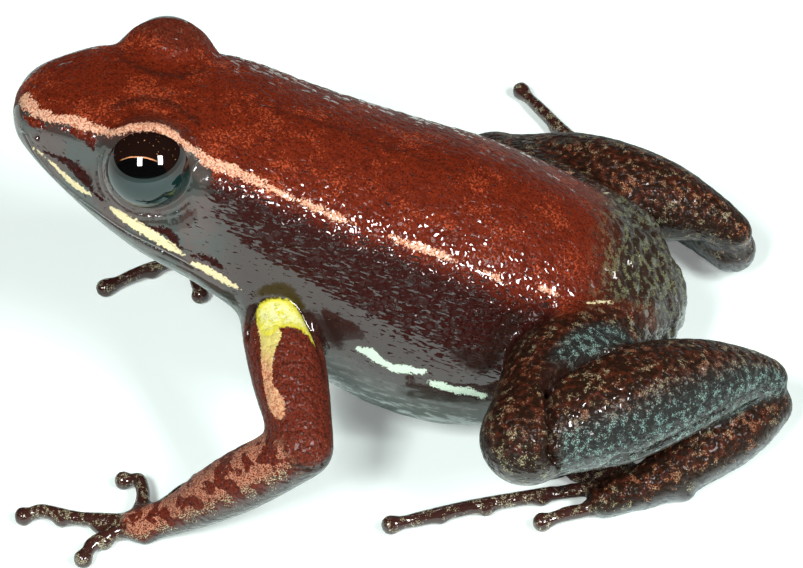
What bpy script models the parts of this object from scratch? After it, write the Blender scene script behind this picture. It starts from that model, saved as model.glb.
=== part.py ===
"""Allobates frog, life size, sitting still with its head raised.

The snout points along -X and the left side of the animal is -Y.  Shapes are
worked out in millimetres with the floor at height 0 and scaled to metres last.
"""

import math

import bmesh
import bpy
import numpy as np
from mathutils import Matrix, Vector
from mathutils.bvhtree import BVHTree

# Overall sizes, millimetres
MM_TO_M = 0.001
EYE_RADIUS = 1.8
LID_RADIUS = 2.3
EYE_CENTRE = (-9.2, -3.35, 14.8)
EYE_FACING = (-0.10, -0.96, 0.26)
EYE_RIM_DEPTH = 0.9
EYE_BACK_DEPTH = 0.1
CALF_BOW = 0.3
TOE_RADIUS = 0.34
DISC_RADIUS = 0.46
DISC_HEIGHT = 0.35
NOSTRIL = (-14.35, -1.8, 15.15)
NOSTRIL_RADIUS = 0.26

# Making sizes
CUT_GAP = 0.3
EYE_GAP = 0.12
GRAIN = 0.15
FLESH_TRIANGLES = 5300
FLAT_ANGLE = 0.03
RING_SIDES = 44
LIMB_SIDES = 20
LID_SIDES = 20
EYE_SIDES = 20
EYE_ROWS = 14
NOSTRIL_SIDES = 12
PLATE_SIDES = 16
FLOOR_WIDTH = 60
FLOOR_DEPTH = 10
STEPS_PER_STATION = 5
STEPS_PER_JOINT = 7
CAP_STEPS = 4
SOFTEN_ROUNDS = 16
SOFTEN_STEP = 0.5
DIGIT_REACH = 0.9
DIGIT_WEIGHT = 0.12
WELD = 0.002
SPECK_VERTICES = 12

# Colours, linear
MAHOGANY = (0.115, 0.022, 0.010)
LIMB_BROWN = (0.105, 0.032, 0.018)
LEG_DARK = (0.045, 0.022, 0.014)
JAW_GREY = (0.150, 0.140, 0.140)
DIGIT_BROWN = (0.060, 0.026, 0.020)
EYE_BLACK = (0.010, 0.006, 0.005)
WET_ROUGHNESS = 0.32
EYE_ROUGHNESS = 0.06

# Body sections from snout to vent.  Each row gives the place along X, then the
# height of the back's midline, then width and height of the back's corner, the
# side, the lip or widest line, the jaw or belly corner, then the belly's height.
BODY = [
    (-15.05, 15.45, 0.0, 15.45, 0.0, 15.40, 0.0, 15.35, 0.0, 15.30, 15.25),
    (-14.95, 15.95, 0.75, 15.85, 0.95, 15.40, 0.9, 14.95, 0.6, 14.65, 14.55),
    (-14.45, 16.45, 1.50, 16.25, 1.70, 15.45, 1.65, 14.75, 1.2, 14.15, 13.95),
    (-13.5, 16.70, 2.10, 16.40, 2.30, 15.45, 2.50, 14.40, 1.95, 13.30, 12.95),
    (-11.8, 16.85, 2.75, 16.45, 3.05, 15.10, 3.55, 13.60, 3.0, 12.00, 11.40),
    (-9.9, 16.60, 3.20, 16.20, 3.70, 14.50, 4.50, 12.50, 3.8, 10.70, 9.90),
    (-7.9, 16.10, 3.50, 15.50, 4.30, 13.50, 4.90, 11.20, 4.1, 9.30, 8.30),
    (-5.8, 15.50, 3.70, 14.60, 4.60, 12.30, 5.00, 9.40, 4.2, 7.00, 6.00),
    (-3.0, 14.30, 3.75, 13.00, 4.80, 10.60, 5.30, 7.40, 4.5, 3.80, 2.90),
    (0.5, 12.65, 3.90, 11.20, 5.20, 8.50, 5.80, 5.60, 4.9, 1.80, 0.70),
    (4.2, 11.25, 3.90, 9.55, 5.20, 6.90, 5.60, 4.30, 4.7, 1.20, 0.28),
    (7.6, 9.20, 3.30, 7.80, 4.30, 5.90, 4.60, 4.00, 3.5, 1.70, 0.90),
    (10.2, 6.90, 2.20, 6.20, 2.90, 5.30, 3.00, 4.20, 2.2, 2.90, 2.30),
    (11.7, 5.20, 0.90, 4.95, 1.10, 4.60, 1.10, 4.20, 0.9, 3.80, 3.70),
    (12.0, 4.45, 0.0, 4.45, 0.0, 4.40, 0.0, 4.35, 0.0, 4.30, 4.25),
]

# Joints of the left and right limbs
SHOULDER_L = (-4.9, -3.9, 8.2)
ELBOW_L = (-3.4, -9.8, 5.2)
WRIST_L = (-9.3, -9.6, 1.15)
PALM_L = (-11.0, -9.6, 0.58)
HIP_L = (9.2, -2.0, 4.8)
KNEE_L = (5.7, -10.2, 5.9)
HEEL_L = (15.5, -4.1, 2.3)
SOLE_L = (10.45, -8.0, 0.78)
SHOULDER_R = (-4.9, 3.9, 8.2)
ELBOW_R = (-3.4, 9.8, 5.2)
WRIST_R = (-8.7, 8.1, 1.15)
PALM_R = (-10.2, 7.3, 0.58)
HIP_R = (9.2, 2.0, 4.8)
KNEE_R = (3.0, 8.4, 4.2)
HEEL_R = (14.2, 5.0, 2.3)
SOLE_R = (10.2, 9.8, 0.78)


def between(start, end, share):
    """The point a share of the way from start to end."""
    return tuple(a + (b - a) * share for a, b in zip(start, end))


def upper_arm(shoulder, elbow):
    """Centres and radii down the upper arm."""
    return [
        (*shoulder, 1.9),
        (*between(shoulder, elbow, 0.52), 1.6),
        (*elbow, 1.25),
    ]


def forearm(elbow, wrist, palm):
    """Centres and radii from the elbow into the palm."""
    return [
        (*elbow, 1.25),
        (*between(elbow, wrist, 0.4), 1.32),
        (*between(elbow, wrist, 0.68), 1.2),
        (*wrist, 0.86),
        (*palm, 0.72),
    ]


def thigh(hip, knee):
    """Centres and radii down the thigh."""
    return [(*hip, 2.0), (*between(hip, knee, 0.45), 2.3), (*knee, 1.72)]


def calf_point(knee, heel, share):
    """A point of the calf's centre line, which is bowed upwards."""
    x, y, z = between(knee, heel, share)
    return (x, y, z + CALF_BOW * math.sin(math.pi * share))


def shank(knee, heel):
    """Centres and radii of the calf, thickest two fifths of the way down."""
    return [
        (*knee, 1.72),
        (*calf_point(knee, heel, 0.16), 2.0),
        (*calf_point(knee, heel, 0.34), 2.32),
        (*calf_point(knee, heel, 0.54), 2.4),
        (*calf_point(knee, heel, 0.74), 2.1),
        (*calf_point(knee, heel, 0.9), 1.45),
        (*heel, 1.05),
    ]


def tarsus(heel, sole):
    """Centres and radii of the long ankle part."""
    return [
        (*heel, 1.0),
        (*between(heel, sole, 0.3), 1.05),
        (*between(heel, sole, 0.7), 1.12),
        (*sole, 0.92),
    ]


def digit(base, base_radius, points, tip):
    """A finger or toe with a round disc at its tip."""
    path = [(*base, base_radius)]
    path += [(x, y, z, TOE_RADIUS) for x, y, z in points]
    last = points[-1]
    path.append((*between(last, (*tip, DISC_HEIGHT), 0.6), TOE_RADIUS))
    path.append((*tip, DISC_HEIGHT, DISC_RADIUS))
    return path


FINGER_3_LEFT = [(-12.1, -9.3, 0.6), (-13.7, -9.05, 0.5), (-15.2, -8.6, 0.5)]
TOE_4_LEFT = [
    (8.8, -8.05, 0.62),
    (7.2, -8.1, 0.55),
    (5.0, -8.45, 0.5),
    (2.9, -8.85, 0.45),
    (0.9, -9.4, 0.42),
]
TOE_4_RIGHT = [(9.2, 11.6, 0.6), (7.8, 13.2, 0.5), (6.4, 14.9, 0.45), (5.2, 16.7, 0.42)]
DIGITS = {
    "finger_1_left": digit(PALM_L, 0.5, [(-10.0, -8.5, 0.55), (-9.3, -7.6, 0.45)], (-8.7, -7.0)),
    "finger_2_left": digit(PALM_L, 0.5, [(-10.9, -8.1, 0.6), (-11.2, -6.95, 0.5)], (-11.9, -6.8)),
    "finger_3_left": digit(PALM_L, 0.55, FINGER_3_LEFT, (-15.95, -8.75)),
    "finger_4_left": digit(PALM_L, 0.55, [(-11.9, -10.0, 0.55), (-12.75, -10.5, 0.5)], (-13.1, -11.2)),
    "finger_1_right": digit(PALM_R, 0.5, [(-9.2, 6.6, 0.55), (-8.5, 6.2, 0.45)], (-7.9, 5.8)),
    "finger_2_right": digit(PALM_R, 0.5, [(-10.2, 6.1, 0.55), (-10.0, 5.3, 0.45)], (-9.8, 4.6)),
    "finger_3_right": digit(PALM_R, 0.55, [(-11.4, 6.65, 0.5), (-12.7, 6.0, 0.5)], (-14.2, 5.2)),
    "finger_4_right": digit(PALM_R, 0.55, [(-11.2, 7.9, 0.5), (-11.9, 8.3, 0.45)], (-12.5, 8.7)),
    "toe_1_left": digit(SOLE_L, 0.5, [(9.4, -6.7, 0.5), (9.0, -6.0, 0.45)], (8.6, -5.3)),
    "toe_2_left": digit(SOLE_L, 0.5, [(8.7, -6.9, 0.5), (7.4, -6.2, 0.45)], (6.2, -5.8)),
    "toe_3_left": digit(SOLE_L, 0.5, [(8.4, -7.4, 0.5), (6.6, -7.0, 0.45)], (4.9, -6.95)),
    "toe_4_left": digit(SOLE_L, 0.7, TOE_4_LEFT, (-0.3, -9.65)),
    "toe_5_left": digit(SOLE_L, 0.55, [(8.2, -9.0, 0.5), (7.0, -9.3, 0.45)], (6.0, -9.65)),
    "toe_1_right": digit(SOLE_R, 0.5, [(9.1, 9.1, 0.5), (8.3, 8.8, 0.45)], (7.5, 8.5)),
    "toe_2_right": digit(SOLE_R, 0.5, [(8.8, 9.95, 0.5), (7.4, 10.0, 0.45)], (5.9, 10.0)),
    "toe_3_right": digit(SOLE_R, 0.55, [(8.6, 10.9, 0.5), (6.6, 12.0, 0.45)], (4.3, 13.2)),
    "toe_4_right": digit(SOLE_R, 0.6, TOE_4_RIGHT, (4.3, 18.1)),
    "toe_5_right": digit(SOLE_R, 0.5, [(10.2, 11.1, 0.5), (10.3, 11.7, 0.45)], (10.2, 12.3)),
}

LIMBS = [
    upper_arm(SHOULDER_L, ELBOW_L),
    forearm(ELBOW_L, WRIST_L, PALM_L),
    thigh(HIP_L, KNEE_L),
    shank(KNEE_L, HEEL_L),
    tarsus(HEEL_L, SOLE_L),
    upper_arm(SHOULDER_R, ELBOW_R),
    forearm(ELBOW_R, WRIST_R, PALM_R),
    thigh(HIP_R, KNEE_R),
    shank(KNEE_R, HEEL_R),
    tarsus(HEEL_R, SOLE_R),
]


def mirrored(point):
    """The same place on the other side of the body."""
    return (point[0], -point[1], point[2])


def curve_through(rows, steps):
    """Smooth curve through rows of numbers, with steps points between two rows."""
    rows = np.array(rows, float)
    ends = np.vstack([2 * rows[0] - rows[1], rows, 2 * rows[-1] - rows[-2]])
    shares = np.linspace(0, 1, steps, endpoint=False)[:, None]
    out = []
    for a, b, c, d in zip(ends, ends[1:], ends[2:], ends[3:]):
        slope = -a + c
        bend = 2 * a - 5 * b + 4 * c - d
        turn = -a + 3 * b - 3 * c + d
        out.append(0.5 * (2 * b + slope * shares + bend * shares**2 + turn * shares**3))
    out.append(rows[-1:])
    return np.vstack(out)


def section(row):
    """Closed ring of points around the body at one place along X."""
    x = row[0]
    half = [(0, row[1]), (row[2], row[3]), (row[4], row[5])]
    half += [(row[6], row[7]), (row[8], row[9]), (0, row[10])]
    full = half + [(-y, z) for y, z in half[-2:0:-1]]
    count = len(full)
    wrapped = np.array(full[-1:] + full + full[:2])
    place = np.linspace(0, count, RING_SIDES, endpoint=False)
    index = place.astype(int)
    share = (place - index)[:, None]
    a, b, c, d = (wrapped[index + k] for k in range(4))
    ring = 2 * b + (-a + c) * share
    ring = ring + (2 * a - 5 * b + 4 * c - d) * share**2
    ring = ring + (-a + 3 * b - 3 * c + d) * share**3
    return np.column_stack([np.full(len(ring), x), ring * 0.5])


def loft(bm, rings):
    """Wrap a sheet into a closed skin through the rings; end rings are points."""
    rows, sides = rings.shape[:2]
    sheet = bmesh.ops.create_grid(bm, x_segments=sides, y_segments=rows - 1, size=1.0)
    for vertex in sheet["verts"]:
        around = round((vertex.co.x + 1) / 2 * sides) % sides
        along = round((vertex.co.y + 1) / 2 * (rows - 1))
        vertex.co = rings[along, around]
    bmesh.ops.remove_doubles(bm, verts=sheet["verts"], dist=WELD)


def limb_rings(path):
    """Rings around a limb, rounded off at both ends."""
    rows = curve_through(path, STEPS_PER_JOINT)
    centres = rows[:, :3]
    radii = rows[:, 3]
    along = np.gradient(centres, axis=0)
    along /= np.linalg.norm(along, axis=1)[:, None]
    angles = np.linspace(0, math.pi / 2, CAP_STEPS, endpoint=False)[::-1]
    tips = [math.pi / 2] + list(angles)
    stops = []
    for a in tips:
        reach = radii[0] * math.sin(a)
        stops.append((centres[0] - along[0] * reach, radii[0] * math.cos(a), along[0]))
    stops += list(zip(centres[1:-1], radii[1:-1], along[1:-1]))
    for a in tips[::-1]:
        reach = radii[-1] * math.sin(a)
        stops.append((centres[-1] + along[-1] * reach, radii[-1] * math.cos(a), along[-1]))
    side = Vector(along[0]).orthogonal().normalized()
    turns = np.linspace(0, 2 * math.pi, LIMB_SIDES, endpoint=False)
    rings = []
    for centre, radius, axis in stops:
        axis = Vector(axis)
        side = (side - axis * side.dot(axis)).normalized()
        other = axis.cross(side)
        ring = [Vector(centre) + (side * math.cos(t) + other * math.sin(t)) * radius for t in turns]
        rings.append([tuple(p) for p in ring])
    return np.array(rings)


def ball(bm, centre, radius, sides):
    """A closed ball."""
    where = Matrix.Translation(centre)
    bmesh.ops.create_uvsphere(bm, u_segments=sides, v_segments=sides // 2, radius=radius, matrix=where)


def link(bm, name, group):
    """Turn a bmesh into an object of a collection."""
    bmesh.ops.recalc_face_normals(bm, faces=bm.faces)
    mesh = bpy.data.meshes.new(name)
    bm.to_mesh(mesh)
    bm.free()
    thing = bpy.data.objects.new(name, mesh)
    group.objects.link(thing)
    return thing


def settle(thing):
    """Replace the object's mesh with its modified shape."""
    bpy.context.view_layer.update()
    graph = bpy.context.evaluated_depsgraph_get()
    shaped = bpy.data.meshes.new_from_object(thing.evaluated_get(graph))
    thing.modifiers.clear()
    thing.data = shaped


def take_away(thing, cutter):
    """Cut one object out of another exactly."""
    cut = thing.modifiers.new("cut", "BOOLEAN")
    cut.operation = "DIFFERENCE"
    cut.solver = "EXACT"
    cut.object = cutter
    settle(thing)
    bm = bmesh.new()
    bm.from_mesh(thing.data)
    bmesh.ops.remove_doubles(bm, verts=bm.verts, dist=WELD)
    bmesh.ops.dissolve_degenerate(bm, edges=bm.edges, dist=WELD)
    bmesh.ops.triangulate(bm, faces=bm.faces)
    bm.to_mesh(thing.data)
    bm.free()


def digit_nearness(points):
    """Weight near 0 on fingers and toes and 1 everywhere else."""
    weight = np.ones(len(points))
    for path in DIGITS.values():
        for row in curve_through(path, STEPS_PER_JOINT)[STEPS_PER_JOINT:]:
            far = np.linalg.norm(points - row[:3], axis=1)
            weight[far < DIGIT_REACH] = DIGIT_WEIGHT
    return weight


def soften(mesh, rounds):
    """Round off the joins between limbs and body."""
    count = len(mesh.vertices)
    points = np.empty(count * 3)
    mesh.vertices.foreach_get("co", points)
    points = points.reshape(-1, 3)
    edges = np.empty(len(mesh.edges) * 2, int)
    mesh.edges.foreach_get("vertices", edges)
    starts, ends = edges.reshape(-1, 2).T
    degree = np.bincount(starts, minlength=count) + np.bincount(ends, minlength=count)
    strength = (digit_nearness(points) * SOFTEN_STEP)[:, None]
    for _ in range(rounds):
        total = np.empty_like(points)
        for axis in range(3):
            total[:, axis] = np.bincount(starts, points[ends, axis], count)
            total[:, axis] += np.bincount(ends, points[starts, axis], count)
        points += strength * (total / degree[:, None] - points)
    mesh.vertices.foreach_set("co", points.ravel())
    mesh.update()


def whole_flesh(group):
    """The whole animal without eyes, as one closed skin."""
    bm = bmesh.new()
    stations = curve_through(BODY, STEPS_PER_STATION)
    loft(bm, np.array([section(row) for row in stations]))
    for path in LIMBS + list(DIGITS.values()):
        loft(bm, limb_rings(path))
    for centre in (EYE_CENTRE, mirrored(EYE_CENTRE)):
        ball(bm, centre, LID_RADIUS, LID_SIDES)
    flesh = link(bm, "flesh", group)
    grain = flesh.modifiers.new("grain", "REMESH")
    grain.mode = "VOXEL"
    grain.voxel_size = GRAIN
    settle(flesh)
    soften(flesh.data, SOFTEN_ROUNDS)
    flesh.data.calc_loop_triangles()
    fewer = flesh.modifiers.new("fewer", "DECIMATE")
    fewer.ratio = FLESH_TRIANGLES / len(flesh.data.loop_triangles)
    settle(flesh)
    return flesh


def frame_of(normal, toward=(0.0, 0.0, 1.0)):
    """Rotation whose Z is the normal and whose X leans toward a direction."""
    up = Vector(normal).normalized()
    lean = Vector(toward)
    lean = lean - up * lean.dot(up)
    if lean.length < WELD:
        lean = up.orthogonal()
    lean.normalize()
    return Matrix((lean, up.cross(lean), up)).transposed().to_4x4()


def slab(group, name, centre, normal, reach, width, toward=(0.0, 0.0, 1.0)):
    """Thin box: reach back and forth along toward, width across."""
    bm = bmesh.new()
    back, forth = reach
    bmesh.ops.create_cube(bm, size=1.0)
    middle = Matrix.Translation(((forth - back) / 2, 0, 0))
    sizes = Matrix.Diagonal((forth + back, width, CUT_GAP, 1))
    turned = Matrix.Translation(centre) @ frame_of(normal, toward)
    bmesh.ops.transform(bm, matrix=turned @ middle @ sizes, verts=bm.verts)
    return link(bm, name, group)


def disc(group, name, centre, normal, radius):
    """Thin round plate across a limb."""
    bm = bmesh.new()
    turned = Matrix.Translation(centre) @ frame_of(normal)
    plate = {"segments": PLATE_SIDES, "radius1": radius, "radius2": radius, "depth": CUT_GAP}
    bmesh.ops.create_cone(bm, cap_ends=True, matrix=turned, **plate)
    return link(bm, name, group)


def fold(group, name, near, joint, far, reach, width):
    """Slab through a folded joint, halfway between its two limb parts."""
    one = (Vector(near) - Vector(joint)).normalized()
    two = (Vector(far) - Vector(joint)).normalized()
    return slab(group, name, joint, one - two, reach, width, one + two)


def crosswise(name, step, share, radius, group):
    """Plate across a finger or toe between two points of its path."""
    path = DIGITS[name]
    start = Vector(path[step][:3])
    end = Vector(path[step + 1][:3])
    return disc(group, "cut_" + name, start.lerp(end, share), end - start, radius)


def make_cutters(group):
    """Every thin cut between two sub-parts."""
    cuts = [
        slab(group, "cut_neck", (-6.2, 0, 11.6), (-0.91, 0, 0.41), (6.2, 6.6), 12.4, (0.41, 0, 0.91)),
        slab(group, "cut_mouth", (-11.2, 0, 12.42), (0.476, 0, 0.88), (5.2, 5.06), 12.0, (0.88, 0, -0.476)),
        slab(group, "cut_hip_left", (5.0, -5.9, 5.0), (0.51, -0.86, 0), (1.8, 8.8), 15.0, (0.86, 0.51, 0)),
        slab(group, "cut_hip_right", (4.2, 5.6, 5.0), (0.4, 0.92, 0), (4.6, 8.9), 15.0, (0.92, -0.4, 0)),
        disc(group, "cut_shoulder_left", (-4.4, -5.9, 7.2), (0.15, -0.96, -0.25), 2.4),
        disc(group, "cut_shoulder_right", (-4.4, 5.9, 7.2), (0.15, 0.96, -0.25), 2.4),
        fold(group, "cut_elbow_left", SHOULDER_L, ELBOW_L, WRIST_L, (2.4, 2.7), 4.4),
        fold(group, "cut_elbow_right", SHOULDER_R, ELBOW_R, WRIST_R, (2.4, 2.7), 4.4),
        disc(group, "cut_wrist_left", WRIST_L, (-1, 0, -0.25), 1.34),
        disc(group, "cut_wrist_right", WRIST_R, (-0.87, -0.46, -0.25), 1.34),
        fold(group, "cut_knee_left", HIP_L, KNEE_L, HEEL_L, (2.6, 8.4), 6.6),
        fold(group, "cut_knee_right", HIP_R, KNEE_R, HEEL_R, (2.6, 8.8), 6.6),
        fold(group, "cut_heel_left", KNEE_L, HEEL_L, SOLE_L, (1.8, 8.4), 4.6),
        fold(group, "cut_heel_right", KNEE_R, HEEL_R, SOLE_R, (1.8, 7.0), 4.6),
        crosswise("finger_1_left", 1, 0.1, 0.6, group),
        crosswise("finger_2_left", 0, 0.9, 0.7, group),
        crosswise("finger_3_left", 1, 0.3, 0.6, group),
        crosswise("finger_4_left", 1, 0.3, 0.56, group),
        crosswise("finger_1_right", 1, 0.0, 0.6, group),
        crosswise("finger_2_right", 0, 0.95, 0.6, group),
        crosswise("finger_3_right", 0, 0.95, 0.6, group),
        crosswise("finger_4_right", 0, 0.95, 0.6, group),
        crosswise("toe_1_left", 1, 0.8, 0.65, group),
        slab(group, "cut_toes_left", (7.2, -7.7, 0.5), (1, 0, 0), (1.2, 1.0), 5.4),
        crosswise("toe_1_right", 0, 1.0, 0.55, group),
        crosswise("toe_2_right", 1, 0.3, 0.5, group),
        crosswise("toe_3_right", 1, 0.3, 0.55, group),
        crosswise("toe_4_right", 1, 0.4, 0.6, group),
        crosswise("toe_5_right", 1, 0.45, 0.62, group),
    ]
    return cuts


def floor_block(group):
    """Solid below the floor that makes the small flats under hands and feet."""
    bm = bmesh.new()
    bmesh.ops.create_cube(bm, size=1.0)
    down = Matrix.Translation((0, 0, -FLOOR_DEPTH / 2))
    shape = down @ Matrix.Diagonal((FLOOR_WIDTH, FLOOR_WIDTH, FLOOR_DEPTH, 1))
    bmesh.ops.transform(bm, matrix=shape, verts=bm.verts)
    return link(bm, "below_floor", group)


def half_ball(bm, centre, facing, radius, lowest):
    """The part of a ball in front of a plane, closed by a flat back."""
    bmesh.ops.create_uvsphere(bm, u_segments=EYE_SIDES, v_segments=EYE_ROWS, radius=radius)
    whole = bm.verts[:] + bm.edges[:] + bm.faces[:]
    plane = {"plane_co": (0, 0, lowest), "plane_no": (0, 0, 1)}
    bmesh.ops.bisect_plane(bm, geom=whole, clear_inner=True, **plane)
    bmesh.ops.holes_fill(bm, edges=bm.edges)
    turned = Matrix.Translation(centre) @ frame_of(facing)
    bmesh.ops.transform(bm, matrix=turned, verts=bm.verts)


def eye_facing(side):
    """Direction the left or right eye looks in."""
    x, y, z = EYE_FACING
    return (x, y * side, z)


def open_eye_bed(flesh, group, name, centre, facing):
    """Level the lid bulge to a rim and sink a bed for the eye."""
    bm = bmesh.new()
    half_ball(bm, centre, facing, LID_RADIUS + EYE_GAP, EYE_RIM_DEPTH)
    take_away(flesh, link(bm, name + "_rim", group))
    bm = bmesh.new()
    half_ball(bm, centre, facing, EYE_RADIUS + EYE_GAP, EYE_BACK_DEPTH - EYE_GAP)
    take_away(flesh, link(bm, name + "_bed", group))


def islands(bm):
    """Lists of vertices that hang together."""
    seen = set()
    groups = []
    for vertex in bm.verts:
        if vertex in seen:
            continue
        stack = [vertex]
        seen.add(vertex)
        members = []
        while stack:
            current = stack.pop()
            members.append(current)
            for edge in current.link_edges:
                other = edge.other_vert(current)
                if other not in seen:
                    seen.add(other)
                    stack.append(other)
        groups.append(members)
    return groups


def node_places():
    """A point well inside every flesh sub-part."""
    places = {
        "head": (-10.0, 0, 14.5),
        "lower_jaw": (-11.0, 0, 11.8),
        "trunk": (1.0, 0, 7.0),
        "upper_arm_left": between(SHOULDER_L, ELBOW_L, 0.6),
        "upper_arm_right": between(SHOULDER_R, ELBOW_R, 0.6),
        "forearm_left": between(ELBOW_L, WRIST_L, 0.5),
        "forearm_right": between(ELBOW_R, WRIST_R, 0.5),
        "hand_left": PALM_L,
        "hand_right": PALM_R,
        "thigh_left": between(HIP_L, KNEE_L, 0.6),
        "thigh_right": between(HIP_R, KNEE_R, 0.6),
        "shank_left": between(KNEE_L, HEEL_L, 0.5),
        "shank_right": between(KNEE_R, HEEL_R, 0.5),
        "foot_left": between(HEEL_L, SOLE_L, 0.7),
        "foot_right": between(HEEL_R, SOLE_R, 0.7),
    }
    for name, path in DIGITS.items():
        places[name] = path[-2][:3]
    return places


COLOURS = {
    "head": MAHOGANY,
    "lower": JAW_GREY,
    "trunk": MAHOGANY,
    "upper": LIMB_BROWN,
    "forearm": LIMB_BROWN,
    "hand": DIGIT_BROWN,
    "thigh": LEG_DARK,
    "shank": LEG_DARK,
    "foot": DIGIT_BROWN,
    "finger": DIGIT_BROWN,
    "toe": DIGIT_BROWN,
    "eye": EYE_BLACK,
}


def paint(thing):
    """Give a sub-part its own surface."""
    surface = bpy.data.materials.new(thing.name + "_skin")
    surface.use_nodes = True
    shader = surface.node_tree.nodes["Principled BSDF"]
    kind = thing.name.split("_")[0]
    shader.inputs["Base Color"].default_value = (*COLOURS[kind], 1)
    shader.inputs["Roughness"].default_value = EYE_ROUGHNESS if kind == "eye" else WET_ROUGHNESS
    shader.inputs["Metallic"].default_value = 0
    thing.data.materials.clear()
    thing.data.materials.append(surface)


def name_of(members):
    """Name of the sub-part whose inner point lies within these vertices, if any."""
    faces = list({face for vertex in members for face in vertex.link_faces})
    order = {vertex: number for number, vertex in enumerate(members)}
    corners = [[order[v] for v in face.verts] for face in faces]
    tree = BVHTree.FromPolygons([v.co for v in members], corners)
    points = np.array([v.co for v in members])
    for name, place in node_places().items():
        boxed = (points.min(axis=0) < place).all() and (points.max(axis=0) > place).all()
        hit, normal, _, _ = tree.find_nearest(place)
        if boxed and (hit - Vector(place)).dot(normal) > 0:
            return name
    return None


def part_flesh(flesh, group):
    """Make one object from every island of the cut flesh."""
    bm = bmesh.new()
    bm.from_mesh(flesh.data)
    bmesh.ops.triangulate(bm, faces=bm.faces)
    bm.normal_update()
    bm.faces.index_update()
    for members in islands(bm):
        name = name_of(members) if len(members) > SPECK_VERTICES else None
        if not name:
            continue
        piece = bmesh.new()
        copies = {v: piece.verts.new(v.co) for v in members}
        faces = {}
        touching = {face.index: face for v in members for face in v.link_faces}
        for _, face in sorted(touching.items()):
            faces.setdefault(frozenset(face.verts), []).append(face)
        for same in faces.values():
            if len(same) == 1:
                piece.faces.new([copies[v] for v in same[0].verts])
        loose = [v for v in piece.verts if not v.link_faces]
        bmesh.ops.delete(piece, geom=loose, context="VERTS")
        bmesh.ops.remove_doubles(piece, verts=piece.verts, dist=WELD)
        bmesh.ops.dissolve_degenerate(piece, edges=piece.edges, dist=WELD)
        bmesh.ops.dissolve_limit(piece, angle_limit=FLAT_ANGLE, verts=piece.verts, edges=piece.edges)
        bmesh.ops.triangulate(piece, faces=piece.faces)
        paint(link(piece, name, group))
    bm.free()
    bpy.data.objects.remove(flesh)


def make_eyes(group):
    """The two eyes, domed in front and flat behind."""
    for name, side in (("eye_left", 1), ("eye_right", -1)):
        centre = EYE_CENTRE if side == 1 else mirrored(EYE_CENTRE)
        bm = bmesh.new()
        half_ball(bm, centre, eye_facing(side), EYE_RADIUS, EYE_BACK_DEPTH)
        bmesh.ops.triangulate(bm, faces=bm.faces)
        paint(link(bm, name, group))


def bring_to_metres(group):
    """Scale to metres with the bottom centre of the whole animal at the origin."""
    corners = np.vstack([[v.co for v in thing.data.vertices] for thing in group.objects])
    low = corners.min(axis=0)
    high = corners.max(axis=0)
    middle = Vector(((low[0] + high[0]) / 2, (low[1] + high[1]) / 2, 0))
    shift = Matrix.Scale(MM_TO_M, 4) @ Matrix.Translation(-middle)
    for thing in group.objects:
        thing.data.transform(shift)
        thing.data.update()


def make_frog():
    """Build every sub-part."""
    for old in list(bpy.data.objects):
        bpy.data.objects.remove(old)
    frog = bpy.data.collections.new("allobates_frog")
    cutters = bpy.data.collections.new("cutters")
    for group in (frog, cutters):
        bpy.context.scene.collection.children.link(group)
    flesh = whole_flesh(frog)
    take_away(flesh, floor_block(cutters))
    for name, side in (("eye_left", 1), ("eye_right", -1)):
        centre = EYE_CENTRE if side == 1 else mirrored(EYE_CENTRE)
        open_eye_bed(flesh, cutters, name, centre, eye_facing(side))
    for name, centre in (("nostril_left", NOSTRIL), ("nostril_right", mirrored(NOSTRIL))):
        bm = bmesh.new()
        ball(bm, centre, NOSTRIL_RADIUS, NOSTRIL_SIDES)
        take_away(flesh, link(bm, name, cutters))
    for cutter in make_cutters(cutters):
        take_away(flesh, cutter)
    part_flesh(flesh, frog)
    make_eyes(frog)
    bring_to_metres(frog)
    for cutter in cutters.objects:
        cutter.hide_render = True
        cutter.display_type = "WIRE"
    print(len(frog.objects), "sub-parts of", len(node_places()) + 2)


make_frog()
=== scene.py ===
# %% [markdown]
# # An allobates frog, life size
#
# The real animal is about 29 mm long, wet, and finely granular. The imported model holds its
# body as faceted solids parted by thin cuts. This lesson grows one closed skin over the
# same shapes, opens the lids in it, paints the markings by distance and adds two wet eyes.

# %% Load the frame
import math

import bmesh
import bpy
import numpy as np
from mathutils import Matrix, Vector
from mathutils.bvhtree import BVHTree
from mathutils.kdtree import KDTree


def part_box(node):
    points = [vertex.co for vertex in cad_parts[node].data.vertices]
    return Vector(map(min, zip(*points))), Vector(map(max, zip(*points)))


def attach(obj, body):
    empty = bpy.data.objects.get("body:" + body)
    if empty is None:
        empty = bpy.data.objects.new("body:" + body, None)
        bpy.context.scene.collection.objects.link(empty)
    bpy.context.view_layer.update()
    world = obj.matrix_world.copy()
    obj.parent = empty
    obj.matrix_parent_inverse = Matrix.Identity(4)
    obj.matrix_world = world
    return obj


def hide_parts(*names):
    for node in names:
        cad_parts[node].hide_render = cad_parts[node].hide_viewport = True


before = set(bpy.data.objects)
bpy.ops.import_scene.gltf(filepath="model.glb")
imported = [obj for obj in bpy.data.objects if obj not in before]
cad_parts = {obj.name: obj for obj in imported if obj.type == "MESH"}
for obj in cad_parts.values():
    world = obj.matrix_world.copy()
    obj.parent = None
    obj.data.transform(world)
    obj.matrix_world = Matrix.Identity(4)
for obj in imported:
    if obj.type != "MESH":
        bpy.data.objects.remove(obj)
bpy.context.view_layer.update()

print("nodes", len(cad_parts))

# %% [markdown]
# ## Working in millimetres
#
# Everything on this animal is small, so shapes are worked out in millimetres with the snout
# along -X, the left side at -Y and the floor at 0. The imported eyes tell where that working
# frame lies: the middle of the left one gives X, and the two together give the midline.

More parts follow.
